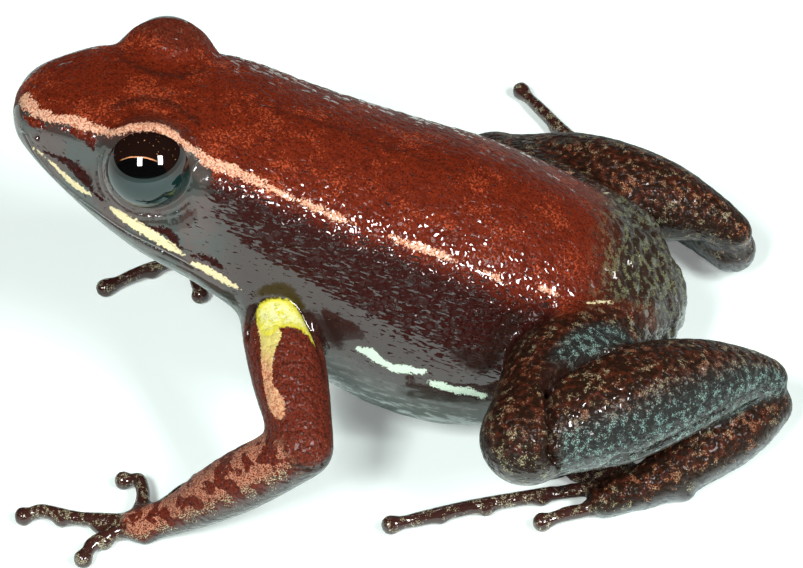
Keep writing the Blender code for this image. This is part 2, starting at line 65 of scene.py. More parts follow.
# %% Millimetres and the working frame
MM = 0.001
EYE_CENTRE = (-9.2, -3.35, 14.8)
left_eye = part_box("eye_left")
right_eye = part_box("eye_right")
ORIGIN_X = EYE_CENTRE[0] - (left_eye[0].x + left_eye[1].x) / 2 / MM
ORIGIN_Y = -(left_eye[0].y + right_eye[1].y) / 2 / MM
TO_METRES = Matrix.Scale(MM, 4) @ Matrix.Translation((-ORIGIN_X, -ORIGIN_Y, 0))
print("working origin", round(ORIGIN_X, 3), round(ORIGIN_Y, 3))

# %% [markdown]
# ## The body's sections
#
# A frog's trunk is neither a tube nor a box: the back is flat with a soft corner along each
# side, and the flank falls steeply to a wide lip or belly. Sections at a few places from
# snout to vent, joined by a smooth curve, give that with few numbers. Each row holds the
# place along X, the height of the back's midline, then width and height of the back's
# corner, the side, the lip or widest line, the jaw or belly corner, and the belly's height.
# The widths are measured from the midline, and the ring mirrors them to the other side.

# %% Body sections
BODY = [
    (-15.05, 15.45, 0.0, 15.45, 0.0, 15.40, 0.0, 15.35, 0.0, 15.30, 15.25),
    (-14.95, 15.95, 0.75, 15.85, 0.95, 15.40, 0.9, 14.95, 0.6, 14.65, 14.55),
    (-14.45, 16.45, 1.50, 16.25, 1.70, 15.45, 1.65, 14.75, 1.2, 14.15, 13.95),
    (-13.5, 16.70, 2.10, 16.40, 2.30, 15.45, 2.50, 14.40, 1.95, 13.30, 12.95),
    (-11.8, 16.85, 2.75, 16.45, 3.05, 15.10, 3.55, 13.60, 3.0, 12.00, 11.40),
    (-9.9, 16.60, 3.20, 16.20, 3.70, 14.50, 4.50, 12.50, 3.8, 10.70, 9.90),
    (-7.9, 16.10, 3.50, 15.50, 4.30, 13.50, 4.90, 11.20, 4.1, 9.30, 8.30),
    (-5.8, 15.50, 3.70, 14.60, 4.60, 12.30, 5.00, 9.40, 4.2, 7.00, 6.00),
    (-3.0, 14.30, 3.75, 13.00, 4.80, 10.60, 5.30, 7.40, 4.5, 3.80, 2.90),
    (0.5, 12.65, 3.90, 11.20, 5.20, 8.50, 5.80, 5.60, 4.9, 1.80, 0.70),
    (4.2, 11.25, 3.90, 9.55, 5.20, 6.90, 5.60, 4.30, 4.7, 1.20, 0.28),
    (7.6, 9.20, 3.30, 7.80, 4.30, 5.90, 4.60, 4.00, 3.5, 1.70, 0.90),
    (10.2, 6.90, 2.20, 6.20, 2.90, 5.10, 3.00, 3.70, 2.3, 2.20, 1.60),
    (11.6, 5.30, 1.20, 4.90, 1.50, 4.20, 1.50, 3.30, 1.1, 2.60, 2.30),
    (12.1, 4.00, 0.0, 4.00, 0.0, 3.85, 0.0, 3.70, 0.0, 3.55, 3.50),
]
RING_SIDES = 88
STEPS_PER_STATION = 8


def spline(a, b, c, d, share):
    """The smooth curve from b to c, with a before them and d after them."""
    slope = -a + c
    bend = 2 * a - 5 * b + 4 * c - d
    turn = -a + 3 * b - 3 * c + d
    return 0.5 * (2 * b + slope * share + bend * share**2 + turn * share**3)


def curve_through(rows, steps):
    """Smooth curve through rows of numbers, with steps points between two rows."""
    rows = np.array(rows, float)
    ends = np.vstack([2 * rows[0] - rows[1], rows, 2 * rows[-1] - rows[-2]])
    shares = np.linspace(0, 1, steps, endpoint=False)[:, None]
    out = [spline(*four, shares) for four in zip(ends, ends[1:], ends[2:], ends[3:])]
    return np.vstack(out + [rows[-1:]])


def section(row):
    """Closed ring of points around the body at one place along X, from the back's midline."""
    half = [(0, row[1]), (row[2], row[3]), (row[4], row[5])]
    half += [(row[6], row[7]), (row[8], row[9]), (0, row[10])]
    full = half + [(-y, z) for y, z in half[-2:0:-1]]
    wrapped = np.array(full[-1:] + full + full[:2])
    place = np.linspace(0, len(full), RING_SIDES, endpoint=False)
    index = place.astype(int)
    four = [wrapped[index + k] for k in range(4)]
    ring = spline(*four, (place - index)[:, None])
    return np.column_stack([np.full(len(ring), row[0]), ring])


body_rings = np.array([section(row) for row in curve_through(BODY, STEPS_PER_STATION)])
print("body rings", body_rings.shape)

# %% [markdown]
# ## The limbs
#
# Each limb part is a chain of balls: a few centres with radii, and a smooth tube through
# them. A row holds the share of the way between two joints, how far the centre lies off
# that line (along X, outwards and upwards) and the radius. Both sides share the rows and
# differ in where the joints lie, since the animal sits with its right foot further out.

# %% Joints and limb tubes
UPPER_ARM = [(0, 0, 0, 0, 1.5), (0.28, 0, 0, 0, 1.62), (0.58, 0, 0, 0, 1.58), (1, 0, 0, 0, 1.25)]
FOREARM = [(0, 0, 0, 0, 1.25), (0.4, 0, 0, 0, 1.32), (0.68, 0, 0, 0, 1.2), (1, 0, 0, 0, 0.86)]
THIGH = [(0, 0, 0, 0, 2.0), (0.45, -0.35, 0, 0, 2.4), (0.8, 0, 0, 0, 2.25), (1, 0, 0, 0, 1.95)]
# The calf is thickest a third of the way down and bows upwards
SHANK = [
    (0, 0, 0, 0, 1.72),
    (0.16, 0, 0, 0.35, 2.05),
    (0.34, 0, 0, 0.7, 2.35),
    (0.54, 0, 0, 1.05, 2.2),
    (0.74, 0, 0, 1.2, 1.75),
    (0.9, 0, 0, 1.05, 1.15),
    (1, 0, 0, 0.6, 0.85),
]
# The long ankle part lies below and outside the calf
ANKLE = [
    (0, -0.1, 0.3, -0.7, 1.1),
    (0.3, 0, 0.6, -0.34, 1.32),
    (0.7, 0, 0.4, 0.06, 1.28),
    (1, 0, 0, 0, 1.0),
]
PALM_RADIUS = 0.72
BALL_RADIUS = 0.78
SHOULDER_L = (-4.9, -3.6, 8.1)
ELBOW_L = (-3.4, -9.8, 5.2)
WRIST_L = (-9.3, -9.6, 1.15)
PALM_L = (-11.0, -9.6, 0.58)
HIP_L = (9.2, -2.0, 4.8)
KNEE_L = (5.7, -10.2, 5.9)
HEEL_L = (15.5, -4.1, 2.3)
SOLE_L = (10.45, -8.0, 0.78)
BALL_L = (8.6, -8.75, 0.68)
SHOULDER_R = (-4.9, 3.6, 8.1)
ELBOW_R = (-3.4, 9.8, 5.2)
WRIST_R = (-8.7, 8.1, 1.15)
PALM_R = (-10.2, 7.3, 0.58)
HIP_R = (9.2, 2.0, 4.8)
KNEE_R = (3.6, 8.4, 3.7)
HEEL_R = (14.2, 5.0, 2.3)
SOLE_R = (10.2, 9.8, 0.78)
BALL_R = (9.4, 10.7, 0.68)
ARMS = [(SHOULDER_L, ELBOW_L, WRIST_L, PALM_L), (SHOULDER_R, ELBOW_R, WRIST_R, PALM_R)]
LEGS = [(HIP_L, KNEE_L, HEEL_L, SOLE_L, BALL_L), (HIP_R, KNEE_R, HEEL_R, SOLE_R, BALL_R)]


def between(start, end, share):
    """The point a share of the way from start to end."""
    return tuple(a + (b - a) * share for a, b in zip(start, end))


def chain(start, end, rows, side):
    """Centres and radii of one limb part, on the side -1 for left or 1 for right."""
    path = []
    for share, behind, outward, raised, radius in rows:
        x, y, z = between(start, end, share)
        path.append((x + behind, y + side * outward, z + raised, radius))
    return path


LIMBS = {}
for name, side, arm, leg in zip(("left", "right"), (-1, 1), ARMS, LEGS):
    shoulder, elbow, wrist, palm = arm
    hip, knee, heel, sole, ball_of_foot = leg
    LIMBS["upper_arm_" + name] = chain(shoulder, elbow, UPPER_ARM, side)
    LIMBS["forearm_" + name] = chain(elbow, wrist, FOREARM, side) + [(*palm, PALM_RADIUS)]
    LIMBS["thigh_" + name] = chain(hip, knee, THIGH, side)
    LIMBS["shank_" + name] = chain(knee, heel, SHANK, side)
    LIMBS["foot_" + name] = chain(heel, sole, ANKLE, side) + [(*ball_of_foot, BALL_RADIUS)]
print("limb parts", len(LIMBS))

# %% [markdown]
# ## Fingers and toes
#
# Four fingers and five toes on each side lie flat on the floor and end in small round
# discs. A digit starts in the palm or sole, runs thinly through its joints and swells at
# the tip. Where it presses on the floor a joint shows as a low knob.

# %% Digits
TOE_RADIUS = 0.33
DISC_RADIUS = 0.46
DISC_HEIGHT = 0.35
NECK_PLACE = 0.6
NECK_SHARE = 0.92


def digit(base, base_radius, points, tip):
    """A finger or toe with a round disc at its tip."""
    path = [(*base, base_radius)]
    path += [(x, y, z, TOE_RADIUS) for x, y, z in points]
    neck = between(points[-1], (*tip, DISC_HEIGHT), NECK_PLACE)
    path.append((*neck, TOE_RADIUS * NECK_SHARE))
    path.append((*tip, DISC_HEIGHT, DISC_RADIUS))
    return path


FINGER_3_LEFT = [(-12.1, -9.3, 0.6), (-13.7, -9.05, 0.5), (-15.2, -8.6, 0.5)]
TOE_4_LEFT = [
    (8.8, -8.05, 0.62),
    (7.2, -8.1, 0.55),
    (5.0, -8.45, 0.5),
    (2.9, -8.85, 0.45),
    (0.9, -9.4, 0.42),
]
TOE_4_RIGHT = [(9.2, 11.6, 0.6), (7.8, 13.2, 0.5), (6.4, 14.9, 0.45), (5.2, 16.7, 0.42)]
DIGITS = {
    "finger_1_left": digit(PALM_L, 0.5, [(-10.0, -8.5, 0.55), (-9.3, -7.6, 0.45)], (-8.7, -7.0)),
    "finger_2_left": digit(PALM_L, 0.5, [(-10.9, -8.1, 0.6), (-11.2, -6.95, 0.5)], (-11.9, -6.8)),
    "finger_3_left": digit(PALM_L, 0.55, FINGER_3_LEFT, (-15.95, -8.75)),
    "finger_4_left": digit(PALM_L, 0.55, [(-11.9, -10.0, 0.55), (-12.75, -10.5, 0.5)], (-13.1, -11.2)),
    "finger_1_right": digit(PALM_R, 0.5, [(-9.2, 6.6, 0.55), (-8.5, 6.2, 0.45)], (-7.9, 5.8)),
    "finger_2_right": digit(PALM_R, 0.5, [(-10.2, 6.1, 0.55), (-10.0, 5.3, 0.45)], (-9.8, 4.6)),
    "finger_3_right": digit(PALM_R, 0.55, [(-11.4, 6.65, 0.5), (-12.7, 6.0, 0.5)], (-14.2, 5.2)),
    "finger_4_right": digit(PALM_R, 0.55, [(-11.2, 7.9, 0.5), (-11.9, 8.3, 0.45)], (-12.5, 8.7)),
    "toe_1_left": digit(SOLE_L, 0.5, [(9.4, -6.7, 0.5), (9.0, -6.0, 0.45)], (8.6, -5.3)),
    "toe_2_left": digit(SOLE_L, 0.5, [(8.7, -6.9, 0.5), (7.4, -6.2, 0.45)], (6.2, -5.8)),
    "toe_3_left": digit(SOLE_L, 0.5, [(8.4, -7.4, 0.5), (6.6, -7.0, 0.45)], (4.9, -6.95)),
    "toe_4_left": digit(SOLE_L, 0.7, TOE_4_LEFT, (-0.3, -9.65)),
    "toe_5_left": digit(SOLE_L, 0.55, [(8.2, -9.0, 0.5), (7.0, -9.3, 0.45)], (6.0, -9.65)),
    "toe_1_right": digit(SOLE_R, 0.5, [(9.1, 9.1, 0.5), (8.3, 8.8, 0.45)], (7.5, 8.5)),
    "toe_2_right": digit(SOLE_R, 0.5, [(8.8, 9.95, 0.5), (7.4, 10.0, 0.45)], (5.9, 10.0)),
    "toe_3_right": digit(SOLE_R, 0.55, [(8.6, 10.9, 0.5), (6.6, 12.0, 0.45)], (4.3, 13.2)),
    "toe_4_right": digit(SOLE_R, 0.6, TOE_4_RIGHT, (4.3, 18.1)),
    "toe_5_right": digit(SOLE_R, 0.5, [(10.2, 11.1, 0.5), (10.3, 11.7, 0.45)], (10.2, 12.3)),
}
# Low knobs under the joints and at the edge of palm and sole: place and radius
KNOBS = [
    (3.6, -8.78, 0.36, 0.42),
    (1.7, -9.18, 0.33, 0.4),
    (5.9, -8.3, 0.4, 0.43),
    (11.9, -8.35, 0.5, 0.45),
    (-12.6, -9.35, 0.38, 0.46),
    (-10.6, -10.1, 0.42, 0.5),
    (-14.3, -8.95, 0.36, 0.42),
    (-12.35, -10.3, 0.36, 0.42),
    (6.0, 15.4, 0.33, 0.4),
    (-12.2, 6.25, 0.36, 0.42),
]
print("digits", len(DIGITS), "knobs", len(KNOBS))

# %% [markdown]
# ## From chains and sections to closed tubes
#
# A sheet from create_grid wraps into a tube when each of its points moves to its place on
# the rings, and merging doubles closes the seam and the two poles. A bevelled curve would
# be quicker for the limbs, but it can't give the body its flat back, so all take this way.

# %% Wrap a sheet round rings
WELD = 0.002
LIMB_SIDES = 28
STEPS_PER_JOINT = 9
CAP_STEPS = 6


def loft(bm, rings):
    """Wrap a sheet into a closed skin through the rings; end rings are points."""
    rows, sides = rings.shape[:2]
    sheet = bmesh.ops.create_grid(bm, x_segments=sides, y_segments=rows - 1, size=1.0)
    for vertex in sheet["verts"]:
        around = round((vertex.co.x + 1) / 2 * sides) % sides
        along = round((vertex.co.y + 1) / 2 * (rows - 1))
        vertex.co = rings[along, around]
    bmesh.ops.remove_doubles(bm, verts=sheet["verts"], dist=WELD)


def limb_rings(path):
    """Rings around a limb, rounded off at both ends."""
    rows = curve_through(path, STEPS_PER_JOINT)
    centres, radii = rows[:, :3], rows[:, 3]
    along = np.gradient(centres, axis=0)
    along /= np.linalg.norm(along, axis=1)[:, None]
    tips = [math.pi / 2] + list(np.linspace(0, math.pi / 2, CAP_STEPS, endpoint=False)[::-1])
    stops = []
    for a in tips:
        reach = radii[0] * math.sin(a)
        stops.append((centres[0] - along[0] * reach, radii[0] * math.cos(a), along[0]))
    stops += list(zip(centres[1:-1], radii[1:-1], along[1:-1]))
    for a in tips[::-1]:
        reach = radii[-1] * math.sin(a)
        stops.append((centres[-1] + along[-1] * reach, radii[-1] * math.cos(a), along[-1]))
    side = Vector(along[0]).orthogonal().normalized()
    turns = np.linspace(0, 2 * math.pi, LIMB_SIDES, endpoint=False)
    rings = []
    for centre, radius, axis in stops:
        axis = Vector(axis)
        side = (side - axis * side.dot(axis)).normalized()
        other = axis.cross(side)
        ring = [Vector(centre) + (side * math.cos(t) + other * math.sin(t)) * radius for t in turns]
        rings.append([tuple(p) for p in ring])
    return np.array(rings)


def ball(bm, centre, radius, rings=32):
    """A closed ball."""
    where = Matrix.Translation(centre)
    bmesh.ops.create_uvsphere(bm, u_segments=rings, v_segments=rings // 2, radius=radius, matrix=where)


def link(bm, name):
    """Turn a bmesh into an object of the scene, with its faces pointing outwards."""
    bmesh.ops.recalc_face_normals(bm, faces=bm.faces)
    mesh = bpy.data.meshes.new(name)
    bm.to_mesh(mesh)
    bm.free()
    thing = bpy.data.objects.new(name, mesh)
    bpy.context.scene.collection.objects.link(thing)
    return thing


def settle(thing):
    """Replace the object's mesh with its modified shape."""
    bpy.context.view_layer.update()
    graph = bpy.context.evaluated_depsgraph_get()
    shaped = bpy.data.meshes.new_from_object(thing.evaluated_get(graph))
    thing.modifiers.clear()
    old = thing.data
    thing.data = shaped
    bpy.data.meshes.remove(old)


def mirrored(point):
    """The same place on the other side of the body."""
    return (point[0], -point[1], *point[2:])


print("helpers ready")

# %% Join the overlapping shapes in one object
LID_RADIUS = 2.25
bm = bmesh.new()
loft(bm, body_rings)
for path in list(LIMBS.values()) + list(DIGITS.values()):
    loft(bm, limb_rings(path))
for centre in (EYE_CENTRE, mirrored(EYE_CENTRE)):
    ball(bm, centre, LID_RADIUS)
for x, y, z, radius in KNOBS:
    ball(bm, (x, y, z), radius, 16)
skin = link(bm, "skin")
print("overlapping shapes joined", len(skin.data.vertices))

# %% [markdown]
# ## One closed skin
#
# A voxel remesh melts all the overlapping shapes into one closed surface. Averaging every
# point with its neighbours then rounds the joins between limbs and body, as flesh does.
# The digits take little of it, or they would wither.

# %% Melt into one skin and soften the joins
GRAIN = 0.12
SOFTEN_ROUNDS = 26
SOFTEN_STEP = 0.5
DIGIT_REACH = 0.9
DIGIT_WEIGHT = 0.1


def remesh(thing, size):
    """Even quads of one size over the whole closed shape."""
    grain = thing.modifiers.new("grain", "REMESH")
    grain.mode = "VOXEL"
    grain.voxel_size = size
    settle(thing)


def points_of(mesh):
    """Every vertex as a row of three numbers."""
    points = np.empty(len(mesh.vertices) * 3)
    mesh.vertices.foreach_get("co", points)
    return points.reshape(-1, 3)


def put_points(mesh, points):
    """Move every vertex to its row."""
    mesh.vertices.foreach_set("co", points.ravel())
    mesh.update()


def neighbours(mesh):
    """Both ends of every edge, and how many edges meet at each vertex."""
    edges = np.empty(len(mesh.edges) * 2, int)
    mesh.edges.foreach_get("vertices", edges)
    starts, ends = edges.reshape(-1, 2).T
    count = len(mesh.vertices)
    degree = np.bincount(starts, minlength=count) + np.bincount(ends, minlength=count)
    return starts, ends, degree


def blur(values, web, rounds, strength=0.5):
    """Average values, one column or several, with those of their neighbours."""
    starts, ends, degree = web
    values = values.reshape(len(degree), -1).astype(float)
    for _ in range(rounds):
        total = np.empty_like(values)
        for k in range(values.shape[1]):
            total[:, k] = np.bincount(starts, values[ends, k], len(degree))
            total[:, k] += np.bincount(ends, values[starts, k], len(degree))
        values = values + strength * (total / degree[:, None] - values)
    return values


def digit_nearness(points):
    """Weight near 0 on fingers and toes and 1 everywhere else."""
    weight = np.ones(len(points))
    for path in DIGITS.values():
        rows = curve_through(path, STEPS_PER_JOINT)[STEPS_PER_JOINT:, :3]
        low, high = rows.min(0) - DIGIT_REACH, rows.max(0) + DIGIT_REACH
        near = np.flatnonzero(((points > low) & (points < high)).all(1))
        far = np.linalg.norm(points[near][:, None] - rows[None], axis=2).min(1)
        weight[near[far < DIGIT_REACH]] = DIGIT_WEIGHT
    return weight


remesh(skin, GRAIN)
points = points_of(skin.data)
strength = (digit_nearness(points) * SOFTEN_STEP)[:, None]
put_points(skin.data, blur(points, neighbours(skin.data), SOFTEN_ROUNDS, strength))
print("skin points", len(points))

# %% [markdown]
# ## Opening the lids
#
# A frog's eye stands high in a domed lid. A Boolean could open the lid with a finished
# eyeball, but the rim would then follow the ball. So a ball cut by a tilted plane opens the
# lid along that plane, and a second one sinks a round bed for the eyeball. A finer remesh
# then evens out the cut edges.

# %% Cut the openings and the beds
EYEBALL_CENTRE = (-9.1, -3.35, 15.12)
EYEBALL_RADIUS = 1.77
BED_RADIUS = 1.76
EYE_FACING_LEFT = (0.07, -0.945, 0.29)
EYE_FACING_RIGHT = (-0.10, 0.992, 0.07)
RIM_DEPTH_LEFT = 0.62
RIM_DEPTH_RIGHT = 0.8
RIM_MARGIN = 0.3
BED_DEPTH = -0.6
FINE_GRAIN = 0.11


def frame_of(normal):
    """Rotation whose Z is the normal and whose X leans upwards."""
    out = Vector(normal).normalized()
    lean = Vector((0, 0, 1)) - out * out.z
    lean.normalize()
    return Matrix((lean, out.cross(lean), out)).transposed().to_4x4()


def cut_ball(bm, centre, facing, radius, lowest, sides=64):
    """The part of a ball in front of a plane, closed by a flat back."""
    bmesh.ops.create_uvsphere(bm, u_segments=sides, v_segments=sides // 2, radius=radius)
    whole = bm.verts[:] + bm.edges[:] + bm.faces[:]
    plane = {"plane_co": (0, 0, lowest), "plane_no": (0, 0, 1)}
    bmesh.ops.bisect_plane(bm, geom=whole, clear_inner=True, **plane)
    bmesh.ops.holes_fill(bm, edges=bm.edges)
    bmesh.ops.transform(bm, matrix=Matrix.Translation(centre) @ frame_of(facing), verts=bm.verts)


def carve(thing, cutter):
    """Take one closed shape out of another and drop the cutter."""
    cut = thing.modifiers.new("cut", "BOOLEAN")
    cut.operation = "DIFFERENCE"
    cut.solver = "MANIFOLD"
    cut.object = cutter
    settle(thing)
    bpy.data.objects.remove(cutter)


eyes = [
    (EYEBALL_CENTRE, EYE_FACING_LEFT, RIM_DEPTH_LEFT),
    (mirrored(EYEBALL_CENTRE), EYE_FACING_RIGHT, RIM_DEPTH_RIGHT),
]
for centre, facing, rim_depth in eyes:
    bm = bmesh.new()
    cut_ball(bm, centre, facing, LID_RADIUS + RIM_MARGIN, rim_depth)
    carve(skin, link(bm, "rim_cutter"))
    bm = bmesh.new()
    cut_ball(bm, centre, facing, BED_RADIUS, BED_DEPTH)
    carve(skin, link(bm, "bed_cutter"))
remesh(skin, FINE_GRAIN)
print("skin points", len(skin.data.vertices))

# %% [markdown]
# ## Finer mesh on the face
#
# Eyelids and mouth are finer than the mesh so far. Their faces are divided once more, and
# a little averaging smooths the steps that the remesh left. The lids of the real animal hug
# the ball: thin at their edge, thicker further back. So the distance of each lid point from
# the ball's centre is held below a limit that grows away from the opening, and the hold
# fades out on the far side of the lid.

# %% Refine the face and tighten the lids
FINE_REACH = 2.7
LIP_REACH = 1.1
FACE_END = -6.3
FINE_ROUNDS = 3
LID_GROWTH = 0.5
BROW_GROWTH = 0.2
BROW_RISE = (0.1, 0.9)
LID_ROUNDS = 10
# Degrees past the lid's edge over which its thickness grows, its hold fades and the
# averaging sets in, then the distances from the ball's centre where the last two end
LID_RISE = (0, 45)
HOLD_TURNS = (10, 55)
EASE_TURNS = (2, 12)
HOLD_END = (FINE_REACH - 0.5, FINE_REACH + 0.3)
EASE_END = (FINE_REACH + 0.3, FINE_REACH - 0.3)
DIGIT_GENTLE = 0.3


def smooth_step(low, high, values):
    """0 below low, 1 above high and a soft ramp between."""
    share = np.clip((values - low) / (high - low), 0, 1)
    return share * share * (3 - 2 * share)


def fine_places(points):
    """Which points lie near an eye or near the line of the lips."""
    lip_height = np.interp(points[:, 0], [row[0] for row in BODY], [row[7] for row in BODY])
    near = (np.abs(points[:, 2] - lip_height) < LIP_REACH) & (points[:, 0] < FACE_END)
    for centre, _, _ in eyes:
        near |= np.linalg.norm(points - centre, axis=1) < FINE_REACH
    return near


bm = bmesh.new()
bm.from_mesh(skin.data)
near = fine_places(points_of(skin.data))
edges = [edge for edge in bm.edges if near[edge.verts[0].index] and near[edge.verts[1].index]]
bmesh.ops.subdivide_edges(bm, edges=edges, cuts=1, use_grid_fill=True)
bmesh.ops.triangulate(bm, faces=[face for face in bm.faces if len(face.verts) > 4])
bm.to_mesh(skin.data)
bm.free()
web = neighbours(skin.data)
points = points_of(skin.data)
gentle = np.where(digit_nearness(points) > DIGIT_WEIGHT, 1.0, DIGIT_GENTLE) * SOFTEN_STEP
points = blur(points, web, FINE_ROUNDS, gentle[:, None])
points = np.where(fine_places(points)[:, None], blur(points, web, FINE_ROUNDS * 2), points)
for centre, facing, rim_depth in eyes:
    away = points - centre
    far = np.linalg.norm(away, axis=1)
    forward = away @ np.array(Vector(facing).normalized()) / far
    edge_turn = math.degrees(math.acos(rim_depth / EYEBALL_RADIUS))
    past_edge = np.degrees(np.arccos(np.clip(forward, -1, 1))) - edge_turn
    growth = LID_GROWTH + BROW_GROWTH * smooth_step(*BROW_RISE, away[:, 2] / far)
    allowed = EYEBALL_RADIUS + growth * smooth_step(*LID_RISE, past_edge)
    grip = (1 - smooth_step(*HOLD_TURNS, past_edge)) * (1 - smooth_step(*HOLD_END, far))
    held = 1 - grip * (1 - np.minimum(allowed / far, 1))
    points = centre + away * held[:, None]
    eased = smooth_step(*EASE_TURNS, past_edge) * smooth_step(*EASE_END, far)
    points = blur(points, web, LID_ROUNDS, eased[:, None] * SOFTEN_STEP)
    away = points - centre
    far = np.linalg.norm(away, axis=1)
    inside = (far < BED_RADIUS) & (forward * far > BED_DEPTH / 2)
    points[inside] = centre + away[inside] * (BED_RADIUS / far[inside])[:, None]
points[:, 2] = np.maximum(points[:, 2], 0)
put_points(skin.data, points)
print("skin points", len(points))

# %% [markdown]
# ## The camera comes early
#
# The markings are placed where the photograph shows them: a ray from the camera through a
# named place of the picture meets the skin, and that spot carries the mark. So the
# camera's place is settled first. It looks down from the left at 43 degrees, slightly
# rolled, from 140 mm away through a long lens.

# %% Camera
PHOTO_WIDTH = 803
PHOTO_HEIGHT = 568
AZIMUTH = math.radians(8)
ELEVATION = math.radians(43)
ROLL = math.radians(7)
DISTANCE = 140
TARGET = Vector((0, 0, 5))
PIXELS_PER_MM = 23.4
SENSOR = 36
BACKWARD = Vector(
    (
        math.sin(AZIMUTH) * math.cos(ELEVATION),
        -math.cos(AZIMUTH) * math.cos(ELEVATION),
        math.sin(ELEVATION),
    )
)
level = (-BACKWARD).cross(Vector((0, 0, 1))).normalized()
upright = level.cross(-BACKWARD)
RIGHTWARD = level * math.cos(ROLL) - upright * math.sin(ROLL)
UPWARD = level * math.sin(ROLL) + upright * math.cos(ROLL)
EYE_POINT = TARGET + BACKWARD * DISTANCE
FOCAL_PIXELS = PIXELS_PER_MM * DISTANCE

camera_data = bpy.data.cameras.new("camera")
camera_data.sensor_width = SENSOR
camera_data.lens = FOCAL_PIXELS / PHOTO_WIDTH * SENSOR
camera_data.clip_start = DISTANCE * MM / 10
camera_data.clip_end = 10
camera = bpy.data.objects.new("camera", camera_data)
bpy.context.scene.collection.objects.link(camera)
turned = Matrix((RIGHTWARD, UPWARD, BACKWARD)).transposed().to_4x4()
camera.matrix_world = Matrix.Translation(TO_METRES @ EYE_POINT) @ turned
bpy.context.scene.camera = camera
print("lens", round(camera_data.lens, 1), "mm")

# %% [markdown]
# ## Trails of marks
#
# A stripe, a row of lip marks or a crease is a trail: places in the picture with half the
# mark's width in millimetres. Each skin point then stores how far inside the nearest part
# of a trail it lies. The material turns that one number into a ragged edge, so the marks
# stay sharp however coarse the mesh is. The picture shows the left side, and the right side
# takes most trails mirrored.

# %% Lay trails on the skin
TRAIL_STEPS = 8
FAR_OUTSIDE = -5.0
FAR_AWAY = 9.0
NEAR_BOX = 3.0
CHUNK = 4000
base_points = points_of(skin.data)
skin.data.calc_loop_triangles()
corners = np.empty(len(skin.data.loop_triangles) * 3, int)
skin.data.loop_triangles.foreach_get("vertices", corners)
skin_tree = BVHTree.FromPolygons(base_points.tolist(), corners.reshape(-1, 3).tolist())


def on_skin(x, y):
    """The place on the skin that shows at a place of the picture."""
    sideways = RIGHTWARD * ((x - PHOTO_WIDTH / 2) / FOCAL_PIXELS)
    downward = UPWARD * ((y - PHOTO_HEIGHT / 2) / FOCAL_PIXELS)
    hit = skin_tree.ray_cast(EYE_POINT, (sideways - downward - BACKWARD).normalized())[0]
    if hit is None:
        print("no skin at", x, y)
    return hit


def trail(places, both_sides=True, drop=0.0):
    """Dense places and half widths along a mark; the right side's copy may lie lower."""
    hits = [(on_skin(x, y), width) for x, y, width in places]
    rows = [(*hit, width) for hit, width in hits if hit]
    lower = [mirrored((row[0], row[1] - drop / 2, row[2] - drop, row[3])) for row in rows]
    sides = [rows, lower] if both_sides else [rows]
    out = []
    for side in sides:
        for row in curve_through(side, TRAIL_STEPS):
            out.append((*skin_tree.find_nearest(Vector(row[:3]))[0], row[3]))
    return np.array(out)


def near_rows(rows):
    """The skin points near a line, some at a time, with their distances from its points."""
    low, high = rows[:, :3].min(0) - NEAR_BOX, rows[:, :3].max(0) + NEAR_BOX
    near = np.flatnonzero(((base_points > low) & (base_points < high)).all(1))
    for start in range(0, len(near), CHUNK):
        some = near[start : start + CHUNK]
        yield some, np.linalg.norm(base_points[some][:, None] - rows[None, :, :3], axis=2)


def depth_in(trails):
    """How far each skin point lies inside the nearest trail, in millimetres."""
    best = np.full(len(base_points), FAR_OUTSIDE)
    for rows in trails:
        for some, far in near_rows(rows):
            best[some] = np.maximum(best[some], (rows[:, 3] - far).max(1))
    return best


print("skin triangles to hit", len(corners) // 3)

# %% [markdown]
# ### Pale marks
#
# The cream stripe runs from the snout over the eye and breaks up along the back. The upper
# lip has cream bars, and patches of red grain lie on the face. Mint marks lie low on the
# flank, and a yellow spot sits before the arm. On the right the stripe lies a little lower,
# so that it doesn't show over the right eye.

# %% Places of the pale marks
RIGHT_DROP = 1.9
STRIPE = [
    [
        (24, 99, 0.32),
        (33, 109, 0.26),
        (50, 117, 0.22),
        (68, 120, 0.24),
        (83, 124, 0.24),
        (100, 130, 0.2),
        (114, 132, 0.18),
        (129, 128, 0.24),
        (145, 126, 0.27),
        (160, 128, 0.27),
        (173, 135, 0.24),
        (185, 144, 0.2),
        (198, 155, 0.2),
        (215, 165, 0.24),
        (235, 171, 0.24),
        (255, 180, 0.2),
        (280, 193, 0.14),
        (300, 201, 0.18),
        (320, 210, 0.18),
        (340, 219, 0.15),
        (354, 225, 0.05),
    ],
    [(386, 234, 0.04), (400, 241, 0.13), (425, 249, 0.17), (445, 257, 0.14), (462, 264, 0.05)],
    [(476, 268, 0.05), (490, 275, 0.13), (505, 283, 0.06)],
    [(540, 288, 0.08), (552, 293, 0.12), (562, 297, 0.05)],
]
LIP = [
    [(32, 147, 0.04), (38, 151, 0.07), (44, 157, 0.04)],
    [(49, 160, 0.05), (57, 168, 0.1), (67, 178, 0.13), (79, 188, 0.18), (90, 194, 0.07)],
    [(111, 208, 0.1), (122, 216, 0.19), (137, 226, 0.22), (155, 237, 0.22)]
    + [(170, 246, 0.2), (183, 254, 0.06)],
    [(193, 263, 0.08), (203, 268, 0.17), (216, 275, 0.17), (229, 283, 0.14), (240, 289, 0.06)],
]
FACE_PATCHES = [
    [(45, 152, 0.06), (60, 159, 0.12), (74, 167, 0.24), (84, 178, 0.26)]
    + [(92, 190, 0.1), (104, 202, 0.05)],
    [(140, 222, 0.05), (155, 229, 0.12), (168, 232, 0.2), (176, 243, 0.16), (181, 250, 0.04)],
    [(60, 127, 0.06), (76, 131, 0.2), (88, 138, 0.24), (93, 148, 0.1)],
    [(26, 117, 0.12), (34, 123, 0.2), (44, 127, 0.1)],
    [(193, 256, 0.08), (206, 258, 0.14), (222, 268, 0.12)],
]
